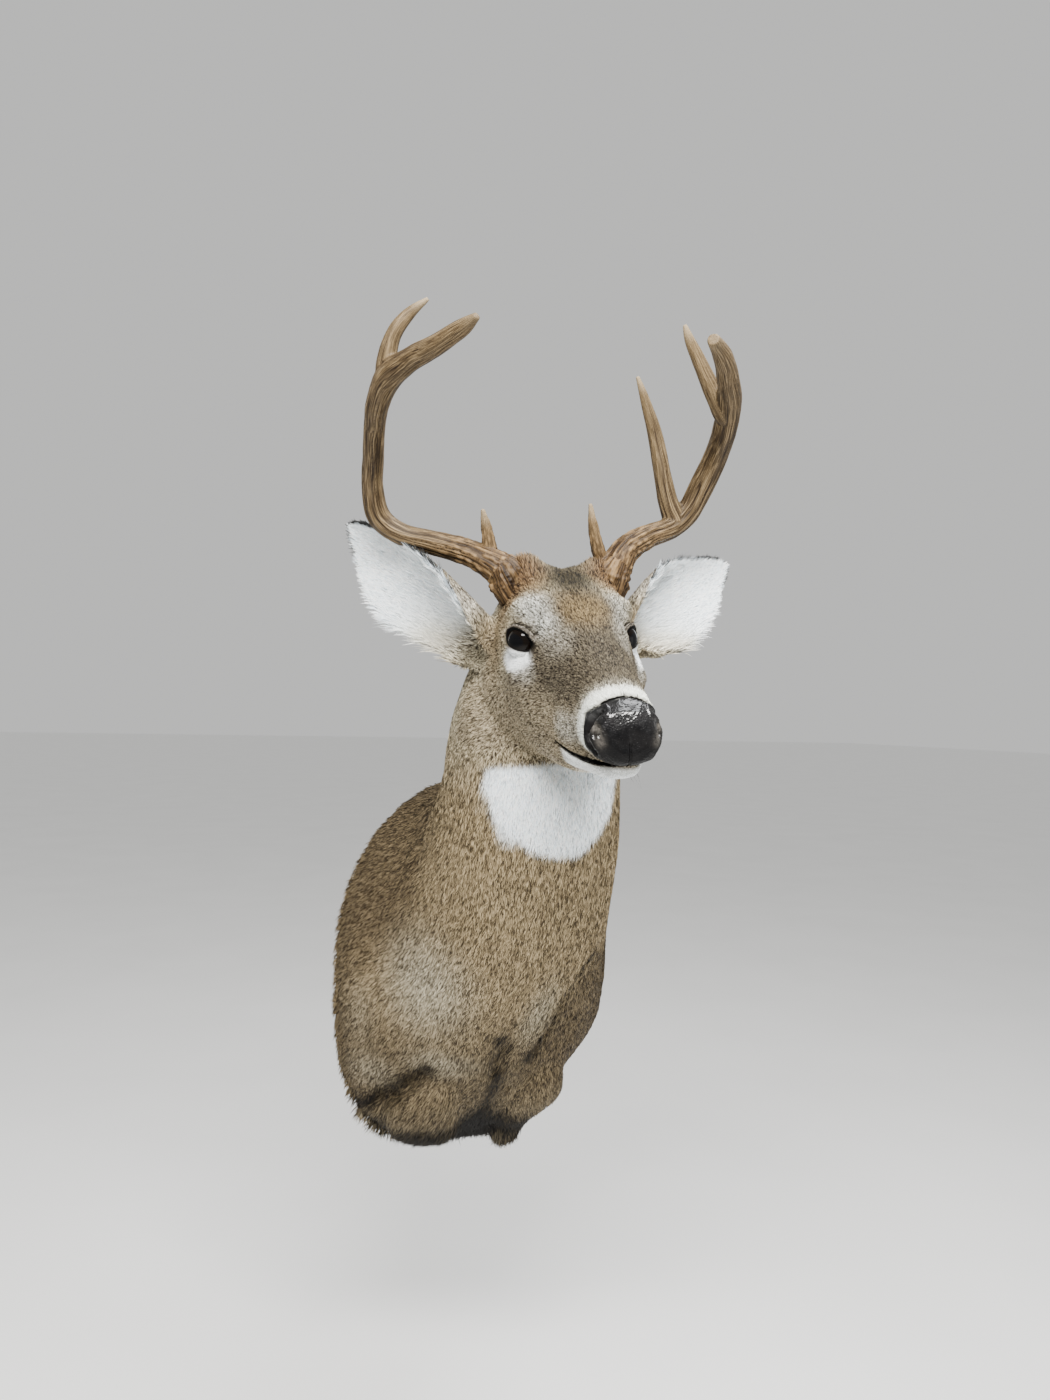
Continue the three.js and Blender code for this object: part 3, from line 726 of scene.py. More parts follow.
def sculpt_skin(skin):
    """Lids, tear lines, lips, brow and hide folds, pressed and raised on the fine skin."""
    points, normals = points_of(skin), normals_of(skin)
    for path, width, depth in body_creases():
        points = press(points, normals, path, width, depth)
    for side in BOTH_SIDES:
        vein = from_head([(60, side * 44, -22), (84, side * 40, -40), (96, side * 38, -60)])
        points = press(points, normals, vein, 5 * MM, 0.9 * MM)
        cheekbone = from_head([(-6, side * 60, -24), (28, side * 54, -34), (60, side * 44, -30)])
        points = press(points, normals, cheekbone, 8 * MM, -1.2 * MM)
    above, behind = mouth_gap(to_head(points))
    lips = 1.0 - smoothstep(0.0, 7.0, behind)
    strength = smoothstep(MOUTH_CORNER - 4, MOUTH_CORNER + 20, to_head(points)[:, 0])
    groove = (1.4 + 1.5 * strength) * np.exp(-(above / 1.2) ** 2) * lips
    welt = 0.9 * np.exp(-((np.abs(above) - 3.6) / 2.0) ** 2) * lips
    points = points + normals * ((welt - groove) * MM)[:, None]
    points = shape_lids(points)
    swell = Noise(11).layered(points, 30 * MM)
    body = body_share(to_head(points)) * smoothstep(-4 * MM, -12 * MM, points[:, 1])
    points = points + normals * (0.9 * MM * swell * body)[:, None]
    move_points(skin, wrap_board(points, normals))


def make_skin():
    """The one closed skin, from blocking out to its last fold."""
    skin = block_out_skin()
    inset_skin(skin)
    thin_out_body(skin)
    unwrap_skin(skin)
    refine_head(skin)
    sculpt_skin(skin)
    skin.vertex_groups.clear()
    smooth_faces(skin)
    return skin


# ---------------------------------------------------------------- markings, shared by skin and coat

WHITE = (0.84, 0.92, 0.98)
CREAM = (0.66, 0.61, 0.49)
TAN = (0.385, 0.308, 0.195)
GREY_TAN = (0.48, 0.435, 0.325)
FACE_GREY = (0.205, 0.177, 0.133)
DARK_BROWN = (0.120, 0.090, 0.055)
CHESTNUT = (0.245, 0.150, 0.080)
NEAR_BLACK = (0.022, 0.019, 0.017)
GRIZZLE = (0.45, 0.46, 0.43)
PALE_GREY = (0.46, 0.43, 0.34)
BREAST_GREY = (0.44, 0.41, 0.32)

# Pale patches of the body: colour, strength, centre and radii, in the world's millimetres. The first, on
# the near shoulder only, is a painted highlight.
BODY_PATCHES_AND_HIGHLIGHT = [
    (PALE_GREY, 0.75, (-120, -145, 20), (36, 60, 48)), (PALE_GREY, 0.25, (-160, -46, -32), (12, 30, 34)),
    (PALE_GREY, 0.4, (-146, -53, -98), (22, 40, 20)), (PALE_GREY, 0.5, (-99, -131, -73), (34, 34, 16)),
    (BREAST_GREY, 0.6, (-16, -207, -6), (16, 40, 40))]

# Patches of the face: colour, strength, share of it on the animal's left side, centre, radii
# and softness, in the head's millimetres.
FACE_PATCHES = [
    ((0.260, 0.190, 0.100), 0.9, 1.0, (40, 0, 36), (40, 24, 24), 0.6),    # the tawny forehead
    ((0.30, 0.225, 0.135), 0.7, 1.0, (-40, 62, 2), (22, 22, 40), 0.6),    # in front of the ear
    (GRIZZLE, 0.9, 0.6, (8, 40, 33), (26, 14, 13), 0.7),                  # over the eye
    (GRIZZLE, 0.9, 0.6, (38, 35, 20), (22, 12, 12), 0.7),                 # before the eye
    ((0.36, 0.345, 0.30), 0.7, 1.0, (72, 30, 10), (30, 11, 14), 0.7),     # the muzzle's side
    ((0.32, 0.235, 0.135), 0.75, 1.0, (-26, 30, 52), (24, 14, 16), 0.6),  # below the antler
    ((0.070, 0.060, 0.040), 0.95, 1.0, (-24, 0, 56), (36, 22, 26), 0.7),  # the dark crown
    ((0.12, 0.098, 0.068), 0.7, 1.0, (-86, 0, 62), (48, 40, 26), 0.6),    # the nape
    (CHESTNUT, 0.95, 1.0, (-46, 42, 52), (28, 22, 32), 0.6),              # round the antler's root
    ((0.84, 0.87, 0.88), 0.97, 1.0, (16, 54, -12), (27, 18, 11), 0.35),   # white under the eye
    ((0.52, 0.52, 0.48), 0.5, 1.0, (34, 50, -22), (16, 12, 10), 0.6),     # and its paler end
    ((0.36, 0.31, 0.225), 0.7, 1.0, (4, 58, -48), (30, 20, 10), 0.7)]     # the cheek

# How deepen() treats a colour: below the white level it falls by a power, and its tint grows.
WHITE_LEVEL, DEEPENING, RICHNESS = 0.80, 1.78, 1.14

# Lines on the face that bands of colour follow: over the lips, behind the nose, and before the ear, where
# the band is painted shade.
LIP_BAND = [(100, 38, -58), (130, 34, -54), (150, 30, -50)]
NOSE_LINE = [(170, 0, -14), (166, 16, -24), (156, 27, -36), (150, 30, -50), (154, 30, -62)]
EAR_CREASE = [(-58, 68, 36), (-60, 80, 18), (-58, 84, -2)]


def body_markings(points, drift):
    """Neck, shoulders and chest: tan, greyer up the neck, dark along the back, pale underneath; with
    painted shade on the far side, in the hollow and along the folds, and a painted highlight on the near
    shoulder.
    """
    x, y, z = (points / MM).T
    x, y, z = x + drift[:, 0], y + drift[:, 1], z + drift[:, 2]
    colour = np.tile(np.array(TAN), (len(points), 1))
    colour = mix(colour, GREY_TAN, smoothstep(205, 320, z))
    colour = mix(colour, (0.25, 0.200, 0.130), smoothstep(20, -80, z) * 0.90)
    # Painted shade on the far side of the neck and shoulder, which turns away from the lamps.
    far_side_shade = smoothstep(52, 100, x) * smoothstep(95, 20, z) * smoothstep(-150, -95, z)
    colour = mix(colour, (0.152, 0.117, 0.074), far_side_shade * 0.95)
    # Painted shade on the far shoulder, beyond the shoulder fold.
    fold_x = np.interp(z, (-120, -70, -52, -31, -5, 28, 51, 80), (-20, -3, 6, 14, 18, 28, 41, 62))
    beyond = smoothstep(-2, 14, x - fold_x) * smoothstep(78, 50, z) * smoothstep(-125, -80, z)
    colour = mix(colour, (0.225, 0.175, 0.110), beyond * smoothstep(-60, -100, y) * 0.80)
    back = smoothstep(-165, -85, y) * smoothstep(-20, 90, z)
    colour = mix(colour, (0.205, 0.158, 0.100), back * 0.85)
    flank = smoothstep(-75, -15, y) * smoothstep(-190, -60, z)
    colour = mix(colour, (0.215, 0.166, 0.105), flank * 0.75)
    spine = smoothstep(42, 12, np.abs(x + 12)) * smoothstep(-200, -120, y) * smoothstep(150, 260, z)
    colour = mix(colour, DARK_BROWN, spine * 0.6)
    places = points / MM
    # Pale patches, the first of them a painted highlight on the near shoulder.
    for tone, strength, centre, radii in BODY_PATCHES_AND_HIGHLIGHT:
        colour = mix(colour, tone, strength * blob(places, centre, radii, 0.9))
    belly = smoothstep(-125, -185, z)
    colour = mix(colour, (0.27, 0.235, 0.17), belly * 0.8)
    # Painted shade, near black, in the hollow between the leg stumps.
    hollow_shade = blob(places, (-26, -60, -178), (36, 60, 34), 0.6)
    colour = mix(colour, (0.026, 0.022, 0.019), hollow_shade * 0.97)
    # Painted shade along the hide's folds.
    for fold, reach in ((POCKET_FOLD, 10), (BREAST_FOLD, 9), (SHOULDER_FOLD, 10)):
        near = path_distance(places, fold)[0]
        colour = mix(colour, (0.040, 0.030, 0.021), np.exp(-(near / reach) ** 2) * 0.95)
    return colour


def throat_patch(points, places, normals, drift):
    """The white bib under the jaw, wide at the top and round below."""
    x, y, z = (points / MM + drift).T
    low = np.clip(262 - z, 0, None)
    inside = (np.abs(x + 43 + 0.10 * low) / 68) ** 2.3 + (low / 90) ** 2.3
    edge = 1.0 - smoothstep(0.84, 1.18, inside)
    f, _, u = places.T
    jaw_line = np.interp(f, (-60, 20, 60, 100, 180), (-116, -110, -104, -98, -80))
    front = smoothstep(-205, -235, y) * smoothstep(2.0, -7.0, u - jaw_line)
    facing = smoothstep(0.92, 0.6, normals[:, 2])
    return edge * front * facing


def head_markings(places, normals, drift):
    """The face: grizzled brown with white round the eyes and muzzle, a dark crown, and painted shade
    along the crease before each ear.
    """
    moved = places + drift
    mirrored = mirror(moved)
    f, a, u = mirrored.T
    colour = np.tile(np.array(GREY_TAN) * 0.98, (len(places), 1))
    colour = mix(colour, FACE_GREY, smoothstep(-25, 30, f) * smoothstep(-75, -45, u))
    colour = mix(colour, (0.395, 0.340, 0.245), smoothstep(-22, -50, u) * smoothstep(-110, -60, f))
    bridge = smoothstep(40, 90, f) * smoothstep(30, 14, a) * smoothstep(-45, -25, u)
    colour = mix(colour, (0.165, 0.142, 0.104), bridge * 0.85)
    for tone, strength, left_share, centre, radii, softness in FACE_PATCHES:
        side_share = np.where(moved[:, 1] < 0, 1.0, left_share)
        colour = mix(colour, tone, side_share * strength * blob(mirrored, centre, radii, softness))
    lip_band = path_distance(mirrored, LIP_BAND)[0]
    colour = mix(colour, (0.47, 0.455, 0.395), (1.0 - smoothstep(5, 22, lip_band)) * 0.85)
    nose_reach = path_distance(mirrored, NOSE_LINE)[0]
    colour = mix(colour, (0.46, 0.44, 0.37), (1.0 - smoothstep(10, 26, nose_reach)) * 0.6)
    colour = mix(colour, (0.76, 0.78, 0.72), (1.0 - smoothstep(5, 15, nose_reach)) * 0.95)
    chin = smoothstep(76, 104, f) * smoothstep(-75, -79, u)
    colour = mix(colour, (0.80, 0.83, 0.82), chin * 0.98)
    throat = smoothstep(-0.80, -0.97, normals_up(normals)) * smoothstep(26, 14, a) * (u < -70)
    colour = mix(colour, (0.74, 0.75, 0.74), throat * (f < 150) * 0.95)
    # Painted shade along the crease in front of the ear.
    ear_crease_shade = path_distance(mirrored, EAR_CREASE)[0]
    colour = mix(colour, (0.10, 0.078, 0.052), np.exp(-(ear_crease_shade / 5) ** 2) * 0.8)
    return colour


def dark_lines(points, places, colour):
    """Black lid rims, tear lines and lips over whatever lies under them, and painted shade in the crease
    over each upper lid.
    """
    for eye in EYE_FRAMES.values():
        q, x, y, reach = eye.opening(points)
        near = eye.faces(points, reach)
        lid = (1.0 - smoothstep(1.45, 1.60, q)) * smoothstep(1, 5, y) * near
        colour = mix(colour, (0.34, 0.31, 0.27), 0.85 * lid)
        rim_end = 1.12 + 0.08 * smoothstep(-2, 3, y)
        rim = (1.0 - smoothstep(rim_end - 0.08, rim_end + 0.05, q)) * near
        colour = mix(colour, NEAR_BLACK, rim)
        # Painted shade in the crease above the upper lid.
        fold = np.exp(-((q - 1.60) / 0.10) ** 2) * smoothstep(0, 5, y) * near
        colour = mix(colour, (0.045, 0.036, 0.028), 0.95 * fold)
        distance, share = eye.tear_distance(x, y)
        tear = 1.0 - smoothstep(2.6 - 1.6 * share, 4.4 - 2.0 * share, distance)
        colour = mix(colour, NEAR_BLACK, 0.95 * tear * near)
    width = 0.9 + 0.4 * smoothstep(90, 140, places[:, 0])
    lips = 1.0 - smoothstep(width, width + 1.4, mouth_distance(places))
    return mix(colour, NEAR_BLACK, 0.97 * lips)


def ear_markings(points, normals, colour):
    """White inside the cup, brown outside, with a thin black line on the front edge and tip, and painted
    shade along a fold inside.
    """
    for ear in EAR_FRAMES.values():
        share, turn, gap, rim = ear.locate(points)
        on_ear = (share > 0.02) & (share < 1.12) & ear.on_blade(gap, rim)
        inner = ear.lining(points, normals)
        blade = smoothstep(0.05, 0.22, share) * on_ear
        low_edge = smoothstep(0.62, 0.15, share) * smoothstep(-0.5, 0.9, -turn)
        lining = mix(np.tile(np.array(WHITE), (len(points), 1)), CREAM, low_edge * 0.9)
        root = smoothstep(0.30, 0.06, share)
        lining = mix(lining, (0.66, 0.64, 0.57), root * 0.6)
        # Painted shade along a fold in the ear's lining.
        fold = np.exp(-((turn - 0.75) / 0.10) ** 2) * smoothstep(0.12, 0.25, share) * (share < 0.5)
        lining = mix(lining, (0.24, 0.21, 0.17), fold * 0.45)
        outside = np.tile(np.array((0.30, 0.25, 0.17)), (len(points), 1))
        outside = mix(outside, (0.16, 0.125, 0.085), smoothstep(0.55, 0.95, share))
        outside = mix(outside, (0.58, 0.56, 0.50), smoothstep(0.50, 0.10, share) * 0.85)
        skin = outside + (lining - outside) * inner[:, None]
        front_edge = np.maximum(smoothstep(0.05, 0.4, turn), smoothstep(0.80, 0.92, share))
        reach = 1.2 * MM + 2.2 * MM * smoothstep(0.5, 0.9, share)
        black = (1.0 - smoothstep(0.5 * reach, 1.5 * reach, rim)) * smoothstep(0.08, 0.30, share)
        skin = mix(skin, NEAR_BLACK, 0.9 * (black * front_edge))
        colour = colour + (skin - colour) * blade[:, None]
    return colour


def markings(points, normals):
    """The coat's colour at each place, with its painted shade and highlight, the same for the bare skin
    and for the hair on it.
    """
    places = to_head(points)
    drift = np.stack([noise.layered(points, 22 * MM, 2) for noise in NOISES], axis=1)
    body = body_markings(points, drift * 6.0)
    head = head_markings(places, normals, drift * 1.6)
    blend = smoothstep(78, 120, -places[:, 0])
    blend = np.maximum(blend, smoothstep(96, 106, -places[:, 2]))
    colour = head + (body - head) * blend[:, None]
    colour = mix(colour, WHITE, throat_patch(points, places, normals, drift * 4.0))
    # Painted shade on the downward-facing underside of the body.
    underside_shade = smoothstep(-0.25, -0.75, normals[:, 2]) * smoothstep(-145, -165, points[:, 2] / MM)
    colour = mix(colour, (0.045, 0.036, 0.028), 0.9 * underside_shade)
    colour = mix(colour, NEAR_BLACK, smoothstep(0.05, 0.3, nose_cover(places)))
    colour = dark_lines(points, places, colour)
    return deepen(ear_markings(points, normals, colour))


def deepen(colour):
    """Lets the darker furs fall further below the white ones, as they do under a strong lamp."""
    level = np.maximum(colour.mean(axis=1), 1e-4)
    fallen = WHITE_LEVEL * (level / WHITE_LEVEL) ** DEEPENING
    wanted = np.where(level < WHITE_LEVEL, fallen, level)
    richer = level[:, None] + (colour - level[:, None]) * RICHNESS
    return np.maximum(richer, 0.15 * level[:, None]) * (wanted / level)[:, None]


# ---------------------------------------------------------------- the lie of the coat

# Combing guides: a place, the way the hair points there, and how far the guide reaches.
HEAD_COMBING = [
    ((176, 0, -20), (-1.0, 0.0, 0.35), 22), ((150, 20, -25), (-1.0, 0.10, 0.10), 24),
    ((150, 26, -60), (-1.0, 0.20, -0.25), 18), ((110, 0, 6), (-1.0, 0.0, 0.12), 30),
    ((110, 32, -40), (-1.0, 0.10, -0.20), 26), ((70, 0, 22), (-1.0, 0.0, 0.25), 30),
    ((70, 36, -25), (-1.0, 0.10, -0.12), 26), ((40, 0, 36), (-1.0, 0.0, 0.45), 26),
    ((40, 34, 22), (-0.9, 0.35, 0.45), 18), ((14, 40, 42), (-0.8, 0.45, 0.55), 18),
    ((10, 54, -26), (-1.0, 0.10, -0.45), 22), ((0, 0, 52), (-1.0, 0.0, 0.55), 24),
    ((-30, 0, 66), (-1.0, 0.0, 0.30), 26), ((-30, 52, 24), (-0.8, 0.3, 0.25), 22),
    ((-46, 36, 58), (-0.25, 0.35, 1.0), 16), ((-66, 50, 52), (-0.2, 0.5, 0.8), 14),
    ((-20, 58, -40), (-1.0, 0.0, -0.55), 34), ((60, 38, -60), (-1.0, 0.0, -0.30), 30),
    ((120, 20, -84), (-1.0, 0.15, -0.15), 30), ((40, 0, -96), (-1.0, 0.0, -0.3), 40),
    ((-60, 40, -60), (-0.9, 0.0, -0.9), 40), ((-80, 0, 66), (-1.0, 0.0, 0.0), 36),
    ((-70, 70, 10), (-0.8, 0.6, 0.0), 22)]
BODY_COMBING = [
    ((-45, -300, 230), (0.0, 0.08, -1.0), 60), ((-40, -290, 130), (0.0, 0.15, -1.0), 60),
    ((-110, -240, 260), (-0.05, 0.30, -1.0), 60), ((40, -240, 260), (0.05, 0.30, -1.0), 60),
    ((-120, -140, 260), (-0.10, 0.75, -0.75), 60), ((50, -140, 260), (0.10, 0.75, -0.75), 60),
    ((-20, -110, 330), (0.0, 0.75, -0.75), 60), ((-15, -60, 265), (0.0, 1.0, -0.35), 60),
    ((-130, -70, 170), (-0.30, 0.85, -0.60), 60), ((110, -70, 170), (0.30, 0.85, -0.60), 60),
    ((-120, -160, 60), (-0.35, 0.50, -0.80), 55), ((110, -160, 60), (0.35, 0.50, -0.80), 55),
    ((-35, -250, 40), (-0.05, 0.30, -1.0), 60), ((-30, -200, -60), (-0.05, 0.45, -1.0), 50),
    ((-165, -40, 60), (-0.15, 0.80, -0.65), 50), ((165, -40, 60), (0.15, 0.80, -0.65), 50),
    ((-160, -50, -60), (-0.25, 0.65, -0.80), 50), ((160, -50, -60), (0.25, 0.65, -0.80), 50),
    ((-130, -90, -110), (-0.45, 0.40, -0.80), 40), ((120, -90, -110), (0.45, 0.40, -0.80), 40),
    ((-75, -60, -170), (-0.10, 0.25, -1.0), 40), ((35, -60, -180), (0.15, 0.25, -1.0), 40),
    ((-130, -40, -150), (-0.60, 0.35, -0.70), 30), ((110, -40, -150), (0.60, 0.35, -0.70), 30)]


def blend_guides(places, guides):
    """The guides' ways blended at each place, the nearest ones counting most."""
    total = np.zeros((len(places), 3))
    weights = np.full(len(places), 1e-9)
    for place, way, reach in guides:
        nearness = np.exp(-0.5 * np.sum((places - np.array(place)) ** 2, axis=1) / reach ** 2) + 1e-12
        total += nearness[:, None] * normalised(np.array(way))
        weights += nearness
    return total / weights[:, None]


def comb(points, normals):
    """The way the hair points at each place, along the surface."""
    places = to_head(points)
    facewards = blend_guides(mirror(places), HEAD_COMBING)
    facewards[:, 1] *= np.where(places[:, 1] < 0, -1.0, 1.0)
    way = turn_to_world(facewards)
    down = blend_guides(points / MM, BODY_COMBING)
    blend = np.maximum(smoothstep(60, 130, -places[:, 0]), smoothstep(92, 122, -places[:, 2]))
    way = normalised(way) * (1.0 - blend)[:, None] + normalised(down) * blend[:, None]
    for ear in EAR_FRAMES.values():
        share, turn, gap, rim = ear.locate(points)
        on_ear = smoothstep(0.0, 0.2, share) * ear.on_blade(gap, rim)
        sideways = 0.45 * np.sin(np.clip(turn, -1.5, 1.5)) * ear.front_sign()
        fan = ear.axis + ear.across * sideways[:, None]
        way = way + (fan - way) * on_ear[:, None]
    way = way - normals * np.sum(way * normals, axis=1)[:, None]
    return normalised(way)


# ---------------------------------------------------------------- the coat's tufts

TUFTS_PER_PIECE = 64000
PATCH = 0.003


def draw_toward(hair, share, **targets):
    """Moves some of the hair's facts toward new values, by a share of one value a place."""
    for name, target in targets.items():
        hair[name] = toward(hair[name], target, share)


def ear_hair(hair, points, normals):
    """Short hair on the ears' backs, and long fluff inside them near the root and the low edge."""
    for ear in EAR_FRAMES.values():
        share, turn, gap, rim = ear.locate(points)
        on_ear = smoothstep(0.04, 0.2, share) * ear.on_blade(gap, rim)
        inner = ear.lining(points, normals)
        low = smoothstep(0.0, 0.9, -turn) * smoothstep(14 * MM, 2 * MM, rim)
        fluff = inner * smoothstep(0.9, 0.3, share)
        length = toward(4.5, 6.5 + 7.0 * fluff + 6.0 * low * fluff, inner)
        draw_toward(hair, on_ear, length=length, width=0.55 + 0.20 * inner, lift=8.0 + 6.0 * fluff,
                    crowd=1.1)


def eye_hair(hair, points):
    """Very short hair close round the eyes, and none on the lids' rims or the tear lines."""
    for eye in EYE_FRAMES.values():
        q, x, y, reach = eye.opening(points)
        near = eye.faces(points, reach)
        draw_toward(hair, (1.0 - smoothstep(1.3, 2.6, q)) * near, length=1.9, width=0.5, crowd=2.2)
        bare = near & ((q < 1.14) | (eye.tear_distance(x, y)[0] < 1.5))
        hair["crowd"] = np.where(bare, 0.0, hair["crowd"])


def hair_facts(points, normals):
    """Length and width in millimetres, lift in degrees and tufts a square millimetre at each place."""
    places = to_head(points)
    body = body_share(places)
    hair = dict(length=4.6, width=0.60, lift=10.0, crowd=1.55)
    draw_toward(hair, body, length=8.6, width=0.92, crowd=0.685)
    hair["lift"] = hair["lift"] - 2.8 * body
    draw_toward(hair, smoothstep(70, 150, places[:, 0]), length=3.2, width=0.52, crowd=1.9)
    crown = blob(places, (-50, 0, 62), (52, 66, 30), 0.5)
    pedicle = blob(mirror(places), (-55, 44, 54), (20, 18, 24), 0.5)
    hair["length"] = hair["length"] + 3.0 * crown + 4.5 * pedicle
    hair["lift"] = hair["lift"] + 8.0 * crown + 16.0 * pedicle
    y, z = points[:, 1] / MM, points[:, 2] / MM
    shaggy = smoothstep(-115, -180, z)
    hair["length"] = hair["length"] + 8.0 * shaggy
    hair["lift"] = hair["lift"] + 12.0 * shaggy
    hair["width"] = hair["width"] + 0.15 * shaggy
    hem = smoothstep(-30, -8, y) * smoothstep(-0.1, 0.3, np.abs(normals[:, 0]) + np.abs(normals[:, 2]))
    hair["length"] = hair["length"] + 1.5 * hem * body
    ear_hair(hair, points, normals)
    eye_hair(hair, points)
    lips = mouth_distance(places)
    bare_lips = smoothstep(1.0, 2.2, lips - 0.6 * smoothstep(116, 150, places[:, 0]))
    draw_toward(hair, 1.0 - smoothstep(4.0, 10.0, lips), length=1.8)
    crowd = hair["crowd"] * bare_lips * (nose_cover(places) < 0.12)
    at_wall = ((normals[:, 1] > 0.75) & (y > -16)) | (y > -1.0)
    hair["crowd"] = np.where(at_wall, 0.0, crowd)
    return hair["length"], hair["width"], hair["lift"], hair["crowd"]


def scatter_roots(skin, random):
    """Random places on the skin's faces, as crowded as the coat is there."""
    points, normals = points_of(skin), normals_of(skin)
    corners, loops = triangles_of(skin.data)
    map_flat = np.empty(len(skin.data.loops) * 2, dtype=np.float32)
    skin.data.uv_layers["OFBake"].data.foreach_get("uv", map_flat)
    map_places = map_flat.reshape(-1, 2)[loops]
    a, b, c = points[corners[:, 0]], points[corners[:, 1]], points[corners[:, 2]]
    area = 0.5 * np.linalg.norm(np.cross(b - a, c - a), axis=1) / MM ** 2
    middle_normals = normalised(normals[corners].mean(axis=1))
    crowd = hair_facts((a + b + c) / 3.0, middle_normals)[3]
    count = random.poisson(area * crowd)
    chosen = np.repeat(np.arange(len(corners)), count)
    share = random.random((len(chosen), 2))
    folded = share.sum(axis=1) > 1.0
    share[folded] = 1.0 - share[folded]
    weights = np.stack([1.0 - share.sum(axis=1), share[:, 0], share[:, 1]], axis=1)[:, :, None]
    roots = np.sum(points[corners[chosen]] * weights, axis=1)
    root_normals = normalised(np.sum(normals[corners[chosen]] * weights, axis=1))
    root_maps = np.sum(map_places[chosen] * weights, axis=1)
    return roots, root_normals, root_maps


def tuft_colours(roots, normals, random):
    """Each tuft's own shade: pale, middle or dark hairs in the mix that makes the coat's grain."""
    base = markings(roots, normals)
    brightness = base.mean(axis=1)
    grain = 1.0 - smoothstep(0.34, 0.56, brightness)
    grain = grain * smoothstep(0.002, 0.010, brightness)
    grain = grain * (1.0 - 0.15 * body_share(to_head(roots)))
    draw = 0.35 * NOISES[2].at(roots, 1.2 * MM) + random.uniform(-0.5, 0.5, len(roots))
    pale_end, middle_end = np.quantile(draw, (0.31, 0.68))
    kind = np.where(draw < pale_end, 0, np.where(draw < middle_end, 1, 2))
    pale = base * 1.85 + np.array([0.012, 0.009, 0.003])
    middle = base * np.array([1.00, 0.97, 0.92])
    dark = base * np.array([0.15, 0.13, 0.12])
    shade = np.where((kind == 0)[:, None], pale, np.where((kind == 1)[:, None], middle, dark))
    plain = base * random.uniform(0.86, 1.10, len(roots))[:, None]
    shade = plain + (shade - plain) * grain[:, None]
    shade = shade * random.uniform(0.85, 1.15, len(roots))[:, None]
    return np.clip(shade, 0.0, 0.92), kind


def tuft_mesh(name, roots, ways, normals, facts, colours, maps, random):
    """Bent, tapered blades: two corners at the root, two at the bend and one at the tip."""
    count = len(roots)
    length, width, lift = (facts[k][:, None] for k in range(3))
    roll = random.normal(0.0, 0.40, count)[:, None]
    beside = np.cross(normals, ways)
    beside = beside * np.cos(roll) + normals * np.sin(roll)
    rise = np.sin(np.radians(lift))
    stray = random.normal(0.0, 0.05, (count, 1))
    bend = roots + ways * length * 0.45 + normals * length * rise * 0.75
    tip = roots + ways * length + normals * length * rise * 0.95 + beside * length * stray
    root_low = roots - normals * 0.35 * MM
    corners = np.empty((count, 5, 3))
    corners[:, 0] = root_low - beside * width * 0.42
    corners[:, 1] = root_low + beside * width * 0.42
    corners[:, 2] = bend + beside * width * 0.50
    corners[:, 3] = bend - beside * width * 0.50
    corners[:, 4] = tip
    corners[:, :, 1] = np.minimum(corners[:, :, 1], -0.2 * MM)
    shade = np.empty((count, 5, 3), dtype=np.float32)
    # Darker at the root, partly the hair's own banding and partly painted shade deep in the coat; lighter
    # at the tip, as the hair's pale band.
    for corner, strength in enumerate((0.40, 0.40, 0.93, 0.93, 1.24)):
        shade[:, corner] = np.clip(colours * strength, 0.0, 0.95)
    patch = np.array([(-0.5, 0), (0.5, 0), (0.5, 0.5), (-0.5, 0.5), (0, 1)]) * PATCH
    flat_maps = maps[:, None, :] + patch - [0, PATCH / 2]
    order = np.array([0, 1, 2, 3, 3, 2, 4])
    mesh = bpy.data.meshes.new(name)
    mesh.vertices.add(count * 5)
    mesh.vertices.foreach_set("co", corners.ravel())
    mesh.loops.add(count * 7)
    loop_points = (np.arange(count)[:, None] * 5 + order).ravel()
    mesh.loops.foreach_set("vertex_index", loop_points)
    mesh.polygons.add(count * 2)
    starts = (np.arange(count)[:, None] * 7 + [0, 4]).ravel()
    mesh.polygons.foreach_set("loop_start", starts)
    mesh.update(calc_edges=True)
    layer = mesh.uv_layers.new(name="OFBake")
    layer.data.foreach_set("uv", flat_maps[:, order].astype(np.float32).ravel())
    mesh.validate()
    thing = bpy.data.objects.new(name, mesh)
    bpy.context.scene.collection.objects.link(thing)
    set_colours(thing, "coat", shade.reshape(-1, 3))
    smooth_faces(thing)
    return thing


def clear_of_features(roots, tips):
    """False for the tufts that would lie over an eye, across the lips or on the bare nose."""
    root_places, tip_places = to_head(roots), to_head(tips)
    keep = nose_cover(tip_places) < 0.25
    for eye in EYE_FRAMES.values():
        q, _, _, reach = eye.opening(tips)
        keep &= ~((q < 1.12) & eye.faces(tips, reach))
    crosses = mouth_gap(root_places)[0] * mouth_gap(tip_places)[0] < 0
    return keep & ~(crosses & (tip_places[:, 0] > MOUTH_CORNER))


